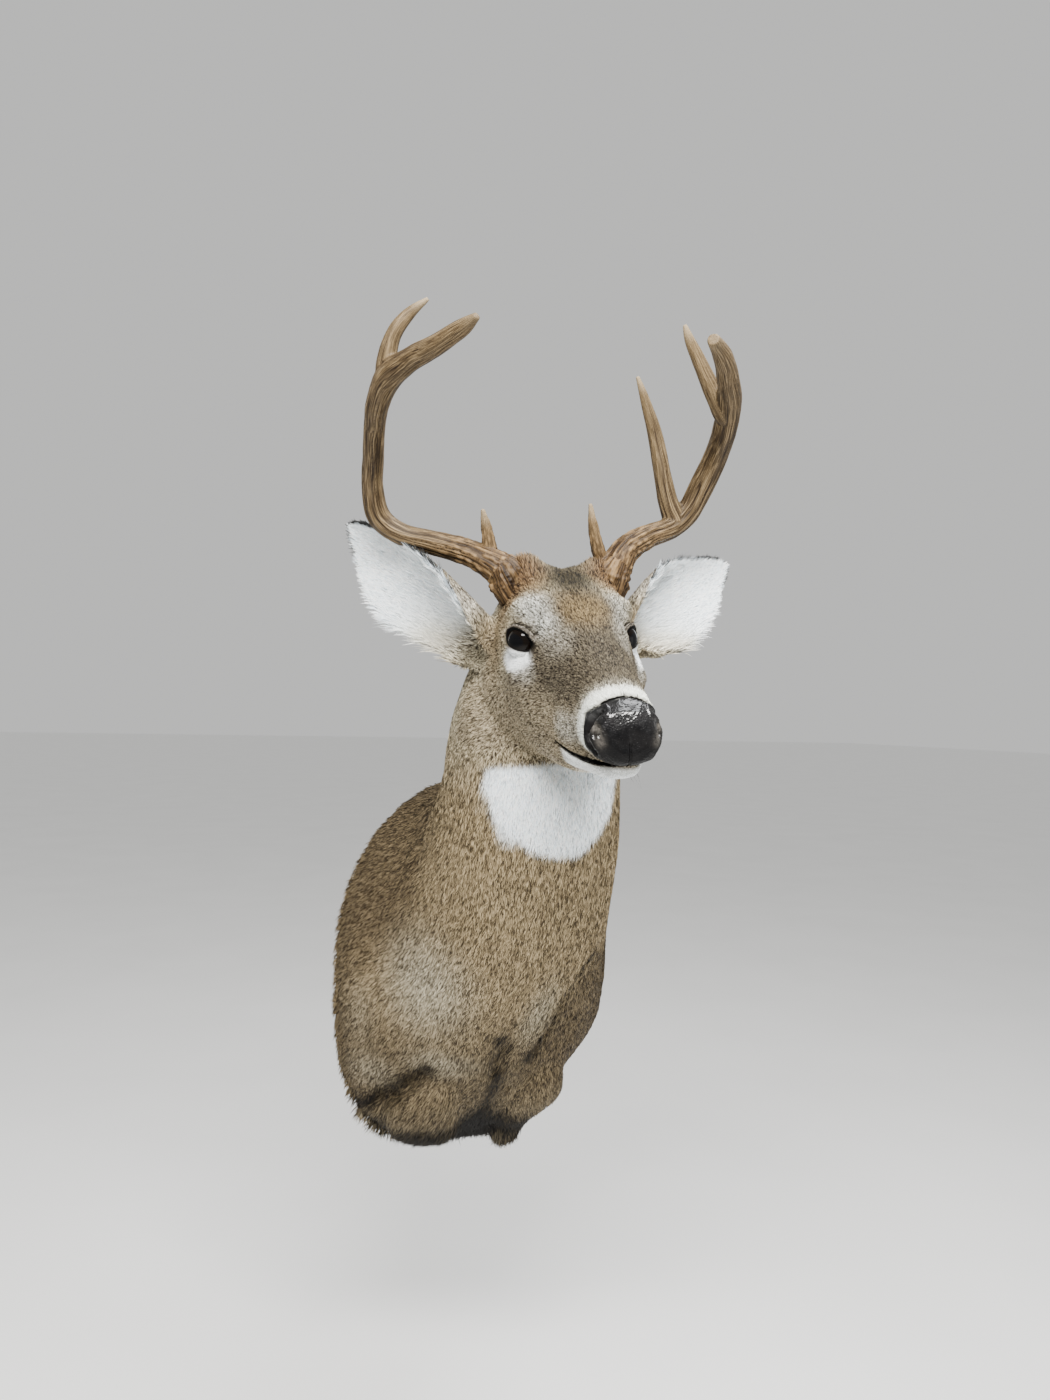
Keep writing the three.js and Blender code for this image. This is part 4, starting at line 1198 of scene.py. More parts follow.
def make_coat(skin, hair):
    """Combs and colours every tuft, and joins them into a few pieces by shade."""
    random = np.random.default_rng(5)
    roots, normals, maps = scatter_roots(skin, random)
    length, width, lift, _ = hair_facts(roots, normals)
    ways = comb(roots, normals)
    clear = clear_of_features(roots, roots + ways * (length * MM)[:, None])
    roots, normals, maps, ways = roots[clear], normals[clear], maps[clear], ways[clear]
    length, width, lift = length[clear], width[clear], lift[clear]
    turn = np.radians(random.normal(0.0, 11.0, len(roots)))[:, None]
    ways = ways * np.cos(turn) + np.cross(normals, ways) * np.sin(turn)
    length = length * MM * random.uniform(0.72, 1.22, len(roots))
    width = width * MM * random.uniform(0.75, 1.25, len(roots))
    lift = lift * random.uniform(0.7, 1.3, len(roots))
    colours, kind = tuft_colours(roots, normals, random)
    for group, word in enumerate(("pale", "middle", "dark")):
        members = random.permutation(np.flatnonzero(kind == group))
        parts = max(1, math.ceil(len(members) / TUFTS_PER_PIECE))
        for part, chosen in enumerate(np.array_split(members, parts)):
            facts = (length[chosen], width[chosen], lift[chosen])
            piece = tuft_mesh(f"coat_{word}_{part + 1}", roots[chosen], ways[chosen], normals[chosen],
                              facts, colours[chosen], maps[chosen], random)
            piece.data.materials.append(hair)
            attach(piece, BODY)


# ---------------------------------------------------------------- cells, for pebbled skin and pearls

def cell_edges(points, size, seed):
    """Distance to the nearest cell centre, and how deep inside its cell each place lies."""
    centres = np.random.default_rng(seed).random((24, 24, 24, 3))
    scaled = points / size
    base = np.floor(scaled).astype(int)
    first = np.full(len(points), 9.0)
    second = np.full(len(points), 9.0)
    for step in np.ndindex(3, 3, 3):
        cell = base + np.array(step) - 1
        index = cell % 24
        spot = cell + centres[index[:, 0], index[:, 1], index[:, 2]]
        distance = np.linalg.norm(scaled - spot, axis=1)
        second = np.minimum(second, np.maximum(first, distance))
        first = np.minimum(first, distance)
    return first, second - first


# ---------------------------------------------------------------- the nose

# The comma of a nostril, and the ridge inside it, paler skin partly painted as a highlight, in the head's
# frame.
NOSTRIL = [(180, 20.0, -32.0), (176, 24.0, -36.5), (171, 27.0, -43), (169, 27.5, -49.5), (172, 27.0, -56),
           (180, 25.5, -62)]
INNER_WING = [(177, 22.5, -41), (184, 21.5, -47), (186, 20.0, -54)]


def block_out_nose():
    """The front of the muzzle cut off behind the nose, melted into one closed form and smoothed."""
    nose = join(copy_of_nodes(["nose", "head", "lower_jaw"], 0.3 * MM), "nose_pad")
    select_only(nose)
    bpy.ops.object.mode_set(mode="EDIT")
    bpy.ops.mesh.select_all(action="SELECT")
    cut = from_head([(142, 0, 0)])[0]
    ahead = turn_to_world([(1, 0, 0)])[0]
    bpy.ops.mesh.bisect(plane_co=cut, plane_no=ahead, use_fill=True, clear_inner=True)
    bpy.ops.object.mode_set(mode="OBJECT")
    modify(nose, "REMESH", mode="VOXEL", voxel_size=NOSE_VOXEL, adaptivity=0.0)
    nose = keep_largest(nose)
    modify(nose, "SMOOTH", factor=0.5, iterations=34)
    return nose


def make_nose(material):
    """The wet black pad: two nostrils with a lobe round each, a philtrum and pebbled skin."""
    nose = block_out_nose()
    points, normals = points_of(nose), normals_of(nose)
    places = to_head(points)
    mirrored = mirror(places)
    cover = nose_cover(places)
    lift = -2.6 * (1.0 - cover) + 0.1 * cover
    flattened = [1.0, 0.35, 1.0]
    pit, along = path_distance(mirrored * flattened, np.array(NOSTRIL) * flattened)
    wide = 2.6 + 4.4 * np.sin(np.pi * np.clip(along, 0.0, 1.0)) ** 0.8
    pit = pit + 20.0 * smoothstep(16.0, 10.0, mirrored[:, 1])
    hole = 1.0 - smoothstep(0.35, 1.15, pit / wide)
    lift = lift - 8.0 * hole * cover
    lobe = np.exp(-((pit - wide - 3.0) / 2.6) ** 2) * smoothstep(168, 176, places[:, 0])
    lift = lift + 1.3 * lobe * cover * (1.0 - hole)
    philtrum = np.exp(-(places[:, 1] / 1.1) ** 2) * smoothstep(-48, -56, places[:, 2])
    lift = lift - 1.5 * philtrum * cover
    pebble = smoothstep(0.0, 0.45, cell_edges(places, 1.8, 31)[1]) * (1.0 - hole)
    lift = lift + 0.22 * (pebble - 0.6) * cover + 0.35 * NOISES[0].at(points, 7 * MM) * cover
    narrowed = to_head(points + normals * (lift * MM)[:, None])
    low_front = smoothstep(-50, -72, narrowed[:, 2]) * smoothstep(165, 180, narrowed[:, 0])
    narrowed[:, 1] *= 1.0 - 0.13 * low_front
    points = from_head(narrowed)
    move_points(nose, points)
    up = smoothstep(-0.02, 0.35, normals_up(normals))
    patchy = smoothstep(-0.35, 0.25, NOISES[1].layered(points, 4.5 * MM, 2))
    wing_tone_and_highlight = np.exp(-(path_distance(mirrored, INNER_WING)[0] / 3.4) ** 2) * (1.0 - hole) * cover
    set_values(nose, "pit", hole)
    set_values(nose, "wet", up * (0.25 + 0.75 * patchy) * (1.0 - hole))
    set_values(nose, "wing_tone_and_highlight", wing_tone_and_highlight)
    set_values(nose, "pebble", pebble)
    smooth_faces(nose)
    nose.data.materials.append(material)
    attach(nose, BODY)
    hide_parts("nose")


# ---------------------------------------------------------------- the eyes

def make_eye(side, material):
    """A glass ball with its cornea raised, facing out of its socket."""
    eye_frame = EYE_FRAMES[side]
    word = "right" if side < 0 else "left"
    turn = Vector(eye_frame.out).to_track_quat("Z", "Y").to_euler()
    bpy.ops.mesh.primitive_uv_sphere_add(segments=96, ring_count=64, radius=EYE_RADIUS,
                                         location=Vector(eye_frame.centre), rotation=turn)
    eye = bpy.context.object
    eye.name = f"glass_eye_{word}"
    bpy.ops.object.transform_apply(location=True, rotation=True, scale=True)
    points = points_of(eye)
    x, y, _ = eye_frame.flat(points)
    from_middle = np.hypot(x, y)
    cornea = 0.9 * MM * (1.0 - smoothstep(6.0, 15.5, from_middle))
    points = points + normalised(points - eye_frame.centre) * cornea[:, None]
    move_points(eye, points)
    set_vectors(eye, "gaze", np.stack([x, y, from_middle], axis=1))
    smooth_faces(eye)
    eye.data.materials.append(material)
    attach(eye, BODY)
    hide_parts(f"eye_{word}")


# ---------------------------------------------------------------- the antlers

def smooth_row(stations, steps):
    """A smooth line through the stations, as rows of place and radius in the head's frame."""
    rows = np.array(stations, dtype=float)
    ends = np.vstack([2 * rows[0] - rows[1], rows, 2 * rows[-1] - rows[-2]])
    line = []
    for i in range(1, len(ends) - 2):
        for k in range(steps):
            t = k / steps
            a, b, c, d = ends[i - 1:i + 3]
            line.append(0.5 * (2 * b + (c - a) * t + (2 * a - 5 * b + 4 * c - d) * t ** 2
                               + (3 * b - a - 3 * c + d) * t ** 3))
    line.append(rows[-1])
    return np.array(line)


def horn_rod(row, name):
    """A round rod along one beam or tine, drawn as a bevelled curve and turned into a mesh."""
    curve = bpy.data.curves.new(name, "CURVE")
    curve.dimensions = "3D"
    curve.bevel_depth = 1.0
    curve.bevel_resolution = 7
    curve.use_fill_caps = True
    spline = curve.splines.new("POLY")
    spline.points.add(len(row) - 1)
    places = from_head(row[:, :3])
    for point, place, radius in zip(spline.points, places, row[:, 3]):
        point.co = (*place, 1.0)
        point.radius = radius * MM
    rod = bpy.data.objects.new(name, curve)
    bpy.context.scene.collection.objects.link(rod)
    select_only(rod)
    bpy.ops.object.convert(target="MESH")
    return bpy.context.object


class HornGuide:
    """Nearest place along a beam or tine for points on the antler, with the turn round it."""

    def __init__(self, row, start):
        self.line = from_head(row[:, :3])
        self.radius = row[:, 3] * MM
        steps = np.diff(self.line, axis=0)
        self.lengths = np.linalg.norm(steps, axis=1)
        self.ways = steps / self.lengths[:, None]
        self.starts = start + np.concatenate([[0.0], np.cumsum(self.lengths)])
        side = np.cross(self.ways[0], [0.3, 0.2, 0.9])
        self.sides = []
        for way in self.ways:
            side = normalised(side - way * (side @ way))
            self.sides.append(side)

    def locate(self, points):
        """Distance in radii, and rows of turn, distance along, radius and distance to the tip."""
        best = np.full(len(points), 1e9)
        found = np.zeros((len(points), 4))
        for i, way in enumerate(self.ways):
            t = np.clip((points - self.line[i]) @ way / self.lengths[i], 0.0, 1.0)
            offset = points - self.line[i] - (t * self.lengths[i])[:, None] * way
            radius = self.radius[i] + t * (self.radius[i + 1] - self.radius[i])
            ratio = np.linalg.norm(offset, axis=1) / radius
            nearer = ratio < best
            best[nearer] = ratio[nearer]
            side = self.sides[i]
            turn = np.arctan2(offset @ np.cross(way, side), offset @ side)
            along = self.starts[i] + t * self.lengths[i]
            left = self.starts[-1] - along
            found[nearer] = np.stack([turn, along, radius, left], axis=1)[nearer]
        return best, found


def block_out_antler(word, rows):
    """Rods melted together into one closed form, with the joints between them smoothed."""
    rods = [horn_rod(row, f"rod_{word}_{i}") for i, row in enumerate(rows)]
    antler = join(rods, f"antler_{word}")
    modify(antler, "REMESH", mode="VOXEL", voxel_size=ANTLER_VOXEL, adaptivity=0.0)
    antler = keep_largest(antler)
    modify(antler, "SMOOTH", factor=0.5, iterations=7)
    return antler


def locate_on_rods(points, rows, starts):
    """The facts of the nearest rod, how far beyond its start each point lies, and 1 on a tine."""
    best = np.full(len(points), 1e9)
    facts = np.zeros((len(points), 4))
    inner = np.zeros(len(points))
    tine = np.zeros(len(points))
    for row, start in zip(rows, starts):
        ratio, found = HornGuide(row, start * MM).locate(points)
        nearer = ratio < best
        best[nearer] = ratio[nearer]
        facts[nearer] = found[nearer]
        inner[nearer] = found[nearer, 1] / MM - start
        tine[nearer] = 0.0 if start == 0 else 1.0
    return facts, inner, tine


def make_antler(word, parts, nodes, material):
    """One antler, grooved along its length, pearled near its base and knobbed at the burr."""
    rows = [smooth_row(stations, 6) for stations, _ in parts]
    antler = block_out_antler(word, rows)
    points, normals = points_of(antler), normals_of(antler)
    facts, inner, tine = locate_on_rods(points, rows, [start for _, start in parts])
    turn, along, radius, left = facts.T
    along, left, thick = along / MM, left / MM, radius / MM
    grain = np.stack([np.cos(turn) * 15, np.sin(turn) * 15, along * 0.036], axis=1)
    wander = NOISES[0].layered(points, 26 * MM, 2)
    grain_moved = grain + wander[:, None] * [1.1, 1.1, 0.3]
    groove = 1.0 - np.abs(Noise(41).at(grain_moved, 3.6)) * 2.4
    groove = np.clip(groove, 0.0, 1.0) ** 2
    fine = Noise(42).layered(grain_moved, 1.5, 2)
    worn = smoothstep(10, 70, left)
    rough = smoothstep(230, 60, along)
    depth = (0.55 + 0.60 * rough) * worn * np.clip(thick / 11, 0.3, 1.2)
    lift = -1.15 * groove * depth + 0.10 * fine * worn
    drawn_out = grain * [0.73, 0.73, 9.9]
    bead = cell_edges(drawn_out + wander[:, None], 3.6, 43)[0]
    pearl = smoothstep(0.60, 0.15, bead) * smoothstep(120, 60, along) * smoothstep(6, 20, along)
    lift = lift + 0.75 * pearl
    burr = np.exp(-((along - 19) / 4.5) ** 2)
    knob = cell_edges(points / MM, 7.0, 45)[0]
    lift = lift + burr * (2.6 * smoothstep(0.65, 0.15, knob) - 0.4)
    lift = lift + 0.35 * NOISES[1].layered(points, 18 * MM, 2) * np.clip(thick / 10, 0.2, 1.0)
    move_points(antler, points + normals * (lift * MM)[:, None])
    tip_length = np.minimum(20.0, 0.35 * (left + inner))
    tip = smoothstep(1.0, 0.1, left / tip_length) * (0.25 + 0.75 * tine)
    set_vectors(antler, "grain_place", grain_moved)
    set_values(antler, "groove", groove * worn)
    set_values(antler, "pearl", pearl)
    set_values(antler, "tine", tine * smoothstep(4, 26, inner))
    set_values(antler, "base_share", smoothstep(150, 20, along))
    set_values(antler, "tip_share", tip)
    smooth_faces(antler)
    antler.data.materials.append(material)
    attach(antler, BODY)
    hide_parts(*nodes)


# ---------------------------------------------------------------- whiskers and lashes

def bristle_mesh(name, roots, ways, normals, lengths, widths, curl):
    """Thin three-sided bristles, closed, tapering to a point as they bend."""
    count = len(roots)
    beside = np.cross(normals, ways)
    corners = np.empty((count, 10, 3))
    for ring, share in enumerate((0.0, 0.4, 0.75)):
        centre = roots + ways * (lengths * share)[:, None]
        centre = centre - normals * (curl * lengths * share ** 2)[:, None]
        for k in range(3):
            angle = 2 * math.pi * k / 3
            thick = (widths * (1.0 - share) / 2)[:, None]
            outward = beside * math.cos(angle) + np.cross(ways, beside) * math.sin(angle)
            corners[:, ring * 3 + k] = centre + outward * thick
    corners[:, 9] = roots + ways * lengths[:, None] - normals * (curl * lengths)[:, None]
    faces = []
    for low in (0, 3):
        for k in range(3):
            after = (k + 1) % 3
            faces.append((low + k, low + after, low + 3 + after, low + 3 + k))
    faces += [(6 + k, 6 + (k + 1) % 3, 9) for k in range(3)] + [(2, 1, 0)]
    every = [tuple(base + corner for corner in face)
             for base in range(0, count * 10, 10) for face in faces]
    mesh = bpy.data.meshes.new(name)
    mesh.from_pydata(corners.reshape(-1, 3).tolist(), [], every)
    thing = bpy.data.objects.new(name, mesh)
    bpy.context.scene.collection.objects.link(thing)
    return thing


def nearest_on_skin(tree_points, tree_normals, places):
    """The skin's own point and normal nearest to each wanted place."""
    index = [int(np.argmin(np.sum((tree_points - place) ** 2, axis=1))) for place in places]
    return tree_points[index], tree_normals[index]


LASHES_PER_EYE = 34


def make_bristles(skin, material):
    """Whiskers on the lips, the chin and below the eyes, and lashes along the upper lids."""
    random = np.random.default_rng(9)
    points, normals = points_of(skin), normals_of(skin)
    whisker_places, lash_places = [], []
    for side in BOTH_SIDES:
        for row in range(3):
            for step in range(6):
                spot = (166 - 9 * step, side * (26 + 1.2 * step), -50 - 6 * row - 1.0 * step)
                whisker_places.append(np.array(spot) + random.normal(0, 2.0, 3))
        for step in range(7):
            spot = (172 - 8 * step, side * (8 + 2 * step), -82)
            whisker_places.append(np.array(spot) + random.normal(0, 2.0, 3))
        for step in range(4):
            whisker_places.append(np.array((20 - 8 * step, side * 56, -40)) + random.normal(0, 2.5, 3))
        eye = EYE_FRAMES[side]
        for step in range(LASHES_PER_EYE):
            x = -13.0 + 27.0 * step / (LASHES_PER_EYE - 1) + random.normal(0, 0.25)
            y = 12.6 * math.sqrt(max(0.05, 1.0 - abs(x / 17.5) ** 2)) - 0.010 * x * abs(x)
            angle = math.hypot(x, y) / (EYE_RADIUS / MM)
            flat = (eye.ahead * x + eye.up * y) / math.hypot(x, y)
            way = eye.out * math.cos(angle) + flat * math.sin(angle)
            lash_places.append(eye.centre + way * 20.6 * MM)
    roots, root_normals = nearest_on_skin(points, normals, from_head(whisker_places))
    ways = normalised(comb(roots, root_normals) * 0.45 + root_normals * 0.8
                      + random.normal(0, 0.22, roots.shape))
    lengths = random.uniform(12, 26, len(roots)) * MM
    whiskers = bristle_mesh("whiskers", roots, ways, root_normals, lengths,
                            np.full(len(roots), 0.42 * MM), 0.15)
    lash_places = np.array(lash_places)
    lash_roots = nearest_on_skin(points, normals, lash_places)[0]
    outward = np.empty_like(lash_roots)
    for i, root in enumerate(lash_roots):
        eye = EYE_FRAMES[-1 if i < LASHES_PER_EYE else 1]
        outward[i] = eye.out * 0.85 + eye.up * 0.25 + normalised(root - eye.centre) * 0.35
    outward = normalised(outward + random.normal(0, 0.10, outward.shape))
    lash_lengths = random.uniform(5.0, 8.0, len(lash_roots)) * MM
    upward = np.tile([0.0, 0.0, 1.0], (len(lash_roots), 1))
    lashes = bristle_mesh("lashes", lash_roots, outward, upward, lash_lengths,
                          np.full(len(lash_roots), 0.5 * MM), 0.25)
    for piece in (whiskers, lashes):
        piece.data.materials.append(material)
        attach(piece, BODY)


# ---------------------------------------------------------------- materials

class Nodes:
    """A short way to add and wire nodes in one tree."""

    def __init__(self, tree):
        self.tree = tree

    def add(self, kind, **settings):
        node = self.tree.nodes.new(kind)
        for name, value in settings.items():
            setattr(node, name, value)
        return node

    def wire(self, source, target):
        self.tree.links.new(source, target)

    def attribute(self, name):
        return self.add("ShaderNodeAttribute", attribute_name=name)

    def math(self, operation, first, second=None, clamp=False):
        node = self.add("ShaderNodeMath", operation=operation, use_clamp=clamp)
        for socket, value in zip(node.inputs, (first, second)):
            if value is None:
                continue
            if isinstance(value, (int, float)):
                socket.default_value = value
            else:
                self.wire(value, socket)
        return node.outputs["Value"]

    def mix(self, factor, first, second, blend="MIX"):
        """Mixes two colours; the node's inputs 0, 6 and 7 are the factor and the two colours."""
        node = self.add("ShaderNodeMix", data_type="RGBA", blend_type=blend)
        for socket, value in zip((node.inputs[i] for i in (0, 6, 7)), (factor, first, second)):
            if isinstance(value, (int, float)):
                socket.default_value = value
            elif isinstance(value, tuple):
                socket.default_value = (*value, 1.0)
            else:
                self.wire(value, socket)
        return node.outputs[2]

    def noise(self, place, scale, detail=2.0, roughness=0.5):
        node = self.add("ShaderNodeTexNoise")
        node.inputs["Scale"].default_value = scale
        node.inputs["Detail"].default_value = detail
        node.inputs["Roughness"].default_value = roughness
        self.wire(place, node.inputs["Vector"])
        return node.outputs["Fac"]

    def ramp(self, factor, *stops):
        """A ramp whose stops are a position and a colour, or a position and a grey level."""
        node = self.add("ShaderNodeValToRGB")
        elements = node.color_ramp.elements
        while len(elements) < len(stops):
            elements.new(0.5)
        for element, (position, colour) in zip(elements, stops):
            element.position = position
            element.color = (*colour, 1.0) if isinstance(colour, tuple) else (colour, colour, colour, 1.0)
        self.wire(factor, node.inputs["Fac"])
        return node.outputs["Color"]

    def object_place(self):
        return self.add("ShaderNodeTexCoord").outputs["Object"]

    def bump(self, height, strength, distance, shader):
        node = self.add("ShaderNodeBump")
        node.inputs["Strength"].default_value = strength
        node.inputs["Distance"].default_value = distance
        self.wire(height, node.inputs["Height"])
        self.wire(node.outputs["Normal"], shader.inputs["Normal"])


def new_material(name):
    """A material, a helper for its nodes, and its shader."""
    material = bpy.data.materials.new(name)
    material.use_nodes = True
    nodes = Nodes(material.node_tree)
    shader = material.node_tree.nodes["Principled BSDF"]
    return material, nodes, shader


def coat_grain_group():
    """Hair-scale speckle: lightens and darkens a coat colour in fine flecks."""
    tree = bpy.data.node_groups.new("coat_grain", "ShaderNodeTree")
    tree.interface.new_socket("Colour", in_out="INPUT", socket_type="NodeSocketColor")
    tree.interface.new_socket("Fleck scale", in_out="INPUT", socket_type="NodeSocketFloat")
    tree.interface.new_socket("Strength", in_out="INPUT", socket_type="NodeSocketFloat")
    tree.interface.new_socket("Colour", in_out="OUTPUT", socket_type="NodeSocketColor")
    tree.interface.new_socket("Fleck", in_out="OUTPUT", socket_type="NodeSocketFloat")
    nodes = Nodes(tree)
    entry, leave = nodes.add("NodeGroupInput"), nodes.add("NodeGroupOutput")
    noise = nodes.add("ShaderNodeTexNoise")
    noise.inputs["Detail"].default_value = 2.0
    nodes.wire(nodes.object_place(), noise.inputs["Vector"])
    nodes.wire(entry.outputs["Fleck scale"], noise.inputs["Scale"])
    spread = nodes.math("SUBTRACT", noise.outputs["Fac"], 0.5)
    spread = nodes.math("MULTIPLY", spread, entry.outputs["Strength"])
    level = nodes.math("ADD", spread, 1.0)
    bright = nodes.add("ShaderNodeVectorMath", operation="SCALE")
    nodes.wire(entry.outputs["Colour"], bright.inputs[0])
    nodes.wire(level, bright.inputs["Scale"])
    nodes.wire(bright.outputs["Vector"], leave.inputs["Colour"])
    nodes.wire(noise.outputs["Fac"], leave.inputs["Fleck"])
    return tree


def place_group(nodes, tree, **values):
    """Places a node group; an underscore in a name stands for the space in its socket's name."""
    node = nodes.add("ShaderNodeGroup")
    node.node_tree = tree
    for name, value in values.items():
        socket = node.inputs[name.replace("_", " ")]
        if isinstance(value, (int, float)):
            socket.default_value = value
        else:
            nodes.wire(value, socket)
    return node


def hair_material(grain):
    """The tufts take their colour from the attribute that they carry, with hair-scale flecks."""
    material, nodes, shader = new_material("deer_hair")
    flecked = place_group(nodes, grain, Colour=nodes.attribute("coat").outputs["Color"],
                          Fleck_scale=900.0, Strength=0.5)
    nodes.wire(flecked.outputs["Colour"], shader.inputs["Base Color"])
    shader.inputs["Roughness"].default_value = 0.58
    shader.inputs["Specular IOR Level"].default_value = 0.10
    return material


def skin_material(grain):
    """The same markings as the tufts, darker: partly the undercoat, partly painted shade of the depth
    between them.
    """
    material, nodes, shader = new_material("deer_hide")
    flecked = place_group(nodes, grain, Colour=nodes.attribute("coat").outputs["Color"],
                          Fleck_scale=620.0, Strength=1.3)
    # Darker: partly the undercoat, partly painted shade between the tufts.
    shade = nodes.mix(1.0, flecked.outputs["Colour"], (0.62, 0.60, 0.58), "MULTIPLY")
    nodes.wire(shade, shader.inputs["Base Color"])
    shader.inputs["Roughness"].default_value = 0.7
    shader.inputs["Specular IOR Level"].default_value = 0.05
    nodes.bump(flecked.outputs["Fleck"], 0.6, 0.0012, shader)
    return material


def nose_material():
    """Black pebbled skin, wet above, dull in the nostrils, with a paler ridge inside each that is partly
    a painted highlight.
    """
    material, nodes, shader = new_material("wet_nose")
    pit = nodes.attribute("pit").outputs["Fac"]
    pebble = nodes.attribute("pebble").outputs["Fac"]
    place = nodes.object_place()
    blotch = nodes.noise(place, 120.0, 3.0)
    black = nodes.ramp(blotch, (0.3, (0.0015, 0.0015, 0.0018)), (0.75, (0.006, 0.0055, 0.0055)))
    mottle = nodes.ramp(nodes.noise(place, 420.0, 3.0), (0.35, 0.35), (0.60, 1.0))
    # The ridge's pale colour is partly the skin's own, partly a painted highlight.
    wing = nodes.math("MULTIPLY", nodes.attribute("wing_tone_and_highlight").outputs["Fac"], mottle)
    colour = nodes.mix(wing, black, (0.170, 0.155, 0.135))
    colour = nodes.mix(pit, colour, (0.004, 0.0025, 0.002))
    nodes.wire(colour, shader.inputs["Base Color"])
    dull = nodes.ramp(nodes.noise(place, 260.0, 2.0), (0.35, 0.32), (0.75, 0.55))
    nodes.wire(dull, shader.inputs["Roughness"])
    wet = nodes.math("MULTIPLY", nodes.attribute("wet").outputs["Fac"], 0.75)
    nodes.wire(nodes.math("ADD", wet, 0.05), shader.inputs["Coat Weight"])
    shader.inputs["Specular IOR Level"].default_value = 0.08
    shader.inputs["Coat Roughness"].default_value = 0.07
    voronoi = nodes.add("ShaderNodeTexVoronoi")
    voronoi.inputs["Scale"].default_value = 900.0
    nodes.wire(place, voronoi.inputs["Vector"])
    height = nodes.math("ADD", voronoi.outputs["Distance"], nodes.math("MULTIPLY", pebble, 0.8))
    nodes.bump(height, 0.40, 0.0005, shader)
    return material


def eye_material():
    """Near-black glass with a wide oval pupil and a dark brown iris."""
    material, nodes, shader = new_material("glass_eye")
    gaze = nodes.add("ShaderNodeSeparateXYZ")
    nodes.wire(nodes.attribute("gaze").outputs["Vector"], gaze.inputs["Vector"])
    wide = nodes.math("DIVIDE", gaze.outputs["X"], 8.6)
    tall = nodes.math("DIVIDE", gaze.outputs["Y"], 5.4)
    oval = nodes.math("ADD", nodes.math("MULTIPLY", wide, wide), nodes.math("MULTIPLY", tall, tall))
    streaks = nodes.noise(nodes.attribute("gaze").outputs["Vector"], 1.4, 3.0)
    iris = nodes.ramp(streaks, (0.3, (0.0012, 0.0008, 0.0006)), (0.75, (0.004, 0.0022, 0.0012)))
    pupil = nodes.ramp(oval, (0.82, (0.0, 0.0, 0.0)), (1.0, (1.0, 1.0, 1.0)))
    colour = nodes.mix(pupil, (0.0012, 0.0012, 0.0016), iris)
    edge = nodes.ramp(nodes.math("DIVIDE", gaze.outputs["Z"], 20.0), (0.68, 0.0), (0.80, 1.0))
    colour = nodes.mix(edge, colour, (0.003, 0.002, 0.0015))
    nodes.wire(colour, shader.inputs["Base Color"])
    shader.inputs["Roughness"].default_value = 0.10
    shader.inputs["Specular IOR Level"].default_value = 0.04
    shader.inputs["Coat Weight"].default_value = 0.18
    shader.inputs["Coat Roughness"].default_value = 0.015
    return material


def antler_material():
    """Streaked brown horn: dark at the base, partly stain and partly painted shade, with paler pearls,
    partly a painted highlight, and paler tines and worn tips.
    """
    material, nodes, shader = new_material("antler_horn")
    place = nodes.attribute("grain_place").outputs["Vector"]
    groove = nodes.attribute("groove").outputs["Fac"]
    streak = nodes.noise(place, 1.1, 4.0, 0.65)
    cloud = nodes.noise(nodes.object_place(), 24.0, 3.0)
    horn = nodes.ramp(streak, (0.36, (0.016, 0.010, 0.0045)), (0.50, (0.086, 0.058, 0.028)),
                      (0.67, (0.300, 0.222, 0.124)))
    warm = nodes.ramp(cloud, (0.35, (0.82, 0.80, 0.78)), (0.70, (1.12, 1.10, 1.08)))
    horn = nodes.mix(1.0, horn, warm, "MULTIPLY")
    # Darker towards the base: partly the horn's stain, partly painted shade.
    base = nodes.math("MULTIPLY", nodes.attribute("base_share").outputs["Fac"], 0.90)
    stain_and_shade = nodes.ramp(streak, (0.40, (0.008, 0.004, 0.0017)), (0.68, (0.125, 0.070, 0.027)))
    horn = nodes.mix(base, horn, stain_and_shade)
    # Paler pearls: partly worn horn, partly a painted highlight.
    pearl = nodes.math("MULTIPLY", nodes.attribute("pearl").outputs["Fac"], 0.65)
    horn = nodes.mix(pearl, horn, (0.290, 0.185, 0.088))
    tine = nodes.math("MULTIPLY", nodes.attribute("tine").outputs["Fac"], 0.14)
    horn = nodes.mix(tine, horn, (0.215, 0.155, 0.082))
    horn = nodes.mix(nodes.math("MULTIPLY", groove, 0.92), horn, (0.010, 0.005, 0.0025))
    tip = nodes.math("MULTIPLY", nodes.attribute("tip_share").outputs["Fac"], 0.50)
    horn = nodes.mix(tip, horn, (0.36, 0.285, 0.180))
    nodes.wire(horn, shader.inputs["Base Color"])
    gloss = nodes.ramp(streak, (0.3, 0.58), (0.7, 0.38))
    nodes.wire(gloss, shader.inputs["Roughness"])
    shader.inputs["Specular IOR Level"].default_value = 0.14
    nodes.bump(streak, 0.35, 0.0008, shader)
    return material


def plain_floor():
    """A pale floor with the faintest drift in its tone."""
    material, nodes, shader = new_material("pale_floor")
    tone = nodes.ramp(nodes.noise(nodes.object_place(), 3.0), (0.3, (0.87, 0.87, 0.86)),
                      (0.7, (0.90, 0.90, 0.89)))
    nodes.wire(tone, shader.inputs["Base Color"])
    shader.inputs["Roughness"].default_value = 0.8
    return material


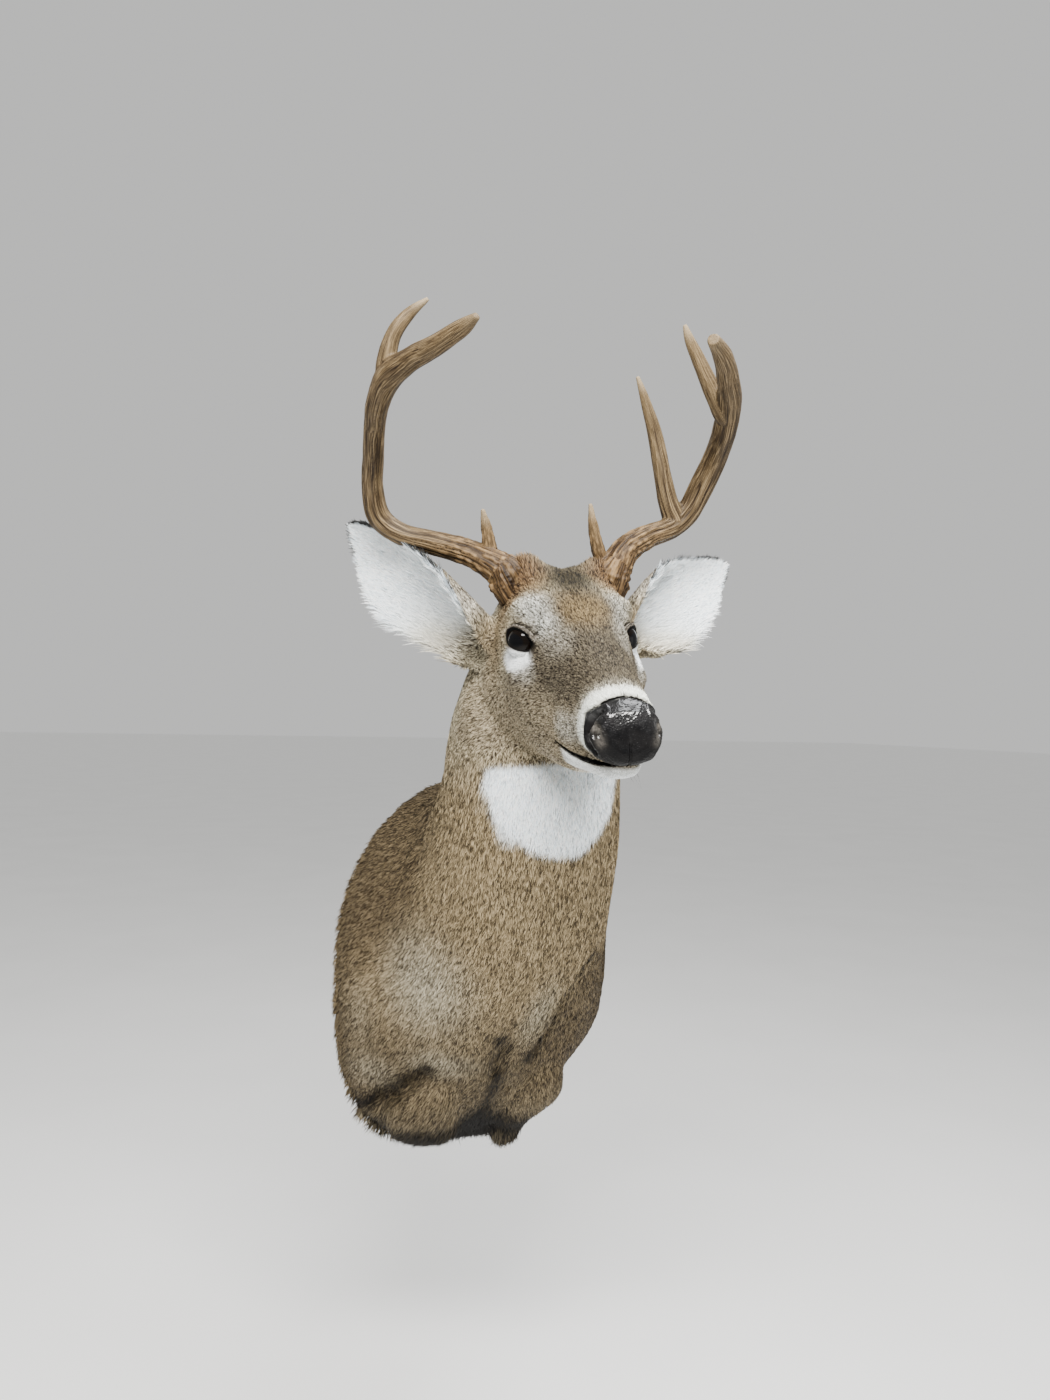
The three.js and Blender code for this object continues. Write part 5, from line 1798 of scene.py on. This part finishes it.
def plywood_material():
    """Rotary-cut face grain running up the board, and thin plies showing at its edge."""
    material, nodes, shader = new_material("plywood")
    place = nodes.object_place()
    stretch = nodes.add("ShaderNodeMapping")
    stretch.inputs["Scale"].default_value = (26.0, 26.0, 3.0)
    nodes.wire(place, stretch.inputs["Vector"])
    figure = nodes.noise(stretch.outputs["Vector"], 1.6, 5.0, 0.6)
    wood = nodes.ramp(figure, (0.30, (0.42, 0.265, 0.135)), (0.50, (0.60, 0.42, 0.235)),
                      (0.70, (0.70, 0.53, 0.33)))
    depth = nodes.add("ShaderNodeSeparateXYZ")
    nodes.wire(place, depth.inputs["Vector"])
    ply = nodes.math("SINE", nodes.math("MULTIPLY", depth.outputs["Y"], 2 * math.pi / 0.0048))
    facing = nodes.add("ShaderNodeSeparateXYZ")
    nodes.wire(nodes.add("ShaderNodeNewGeometry").outputs["Normal"], facing.inputs["Vector"])
    edge = nodes.math("SUBTRACT", 1.0, nodes.math("ABSOLUTE", facing.outputs["Y"]), clamp=True)
    dark = nodes.math("MULTIPLY", nodes.math("GREATER_THAN", ply, 0.0), edge)
    wood = nodes.mix(nodes.math("MULTIPLY", dark, 0.55), wood, (0.30, 0.18, 0.09))
    nodes.wire(wood, shader.inputs["Base Color"])
    shader.inputs["Roughness"].default_value = 0.66
    nodes.bump(figure, 0.3, 0.0008, shader)
    return material


def steel_material():
    """Brushed zinc-plated steel with faint spangles."""
    material, nodes, shader = new_material("zinc_plate")
    place = nodes.object_place()
    stretch = nodes.add("ShaderNodeMapping")
    stretch.inputs["Scale"].default_value = (40.0, 200.0, 900.0)
    nodes.wire(place, stretch.inputs["Vector"])
    brush = nodes.noise(stretch.outputs["Vector"], 1.0, 3.0)
    spangle = nodes.noise(place, 180.0, 1.0)
    tone = nodes.ramp(spangle, (0.35, (0.50, 0.51, 0.52)), (0.65, (0.64, 0.65, 0.66)))
    nodes.wire(tone, shader.inputs["Base Color"])
    nodes.wire(nodes.ramp(brush, (0.3, 0.30), (0.7, 0.48)), shader.inputs["Roughness"])
    shader.inputs["Metallic"].default_value = 0.9
    nodes.bump(brush, 0.15, 0.0003, shader)
    return material


def bristle_material():
    """Black, slightly glossy hair."""
    material, nodes, shader = new_material("black_bristle")
    tone = nodes.ramp(nodes.noise(nodes.object_place(), 400.0), (0.3, (0.008, 0.007, 0.006)),
                      (0.7, (0.030, 0.025, 0.021)))
    nodes.wire(tone, shader.inputs["Base Color"])
    shader.inputs["Roughness"].default_value = 0.4
    return material


def dress_node(name, material):
    """Gives a CAD node that stays visible its material."""
    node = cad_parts[name]
    node.data.materials.clear()
    node.data.materials.append(material)


# ---------------------------------------------------------------- the whole mount

def main():
    make_camera()
    make_studio()
    grain = coat_grain_group()
    skin = make_skin()
    normals = normals_of(skin)
    set_colours(skin, "coat", np.clip(markings(points_of(skin), normals), 0.0, 1.0))
    skin.data.materials.append(skin_material(grain))
    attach(skin, BODY)
    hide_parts("trunk", "neck", "head", "lower_jaw", "leg_stump_right", "leg_stump_left",
                *EAR_NODES)
    make_coat(skin, hair_material(grain))
    make_nose(nose_material())
    glass = eye_material()
    for side in BOTH_SIDES:
        make_eye(side, glass)
    horn = antler_material()
    make_antler("right", [(RIGHT_BEAM, 0), (RIGHT_BROW, 30), (RIGHT_TINE, 480)],
                ANTLER_RIGHT_NODES, horn)
    make_antler("left", [(LEFT_BEAM, 0), (LEFT_BROW, 30), (LEFT_SECOND, 130), (LEFT_THIRD, 350)],
                ANTLER_LEFT_NODES, horn)
    make_bristles(skin, bristle_material())
    dress_node("backboard", plywood_material())
    dress_node("hanger_plate", steel_material())


main()
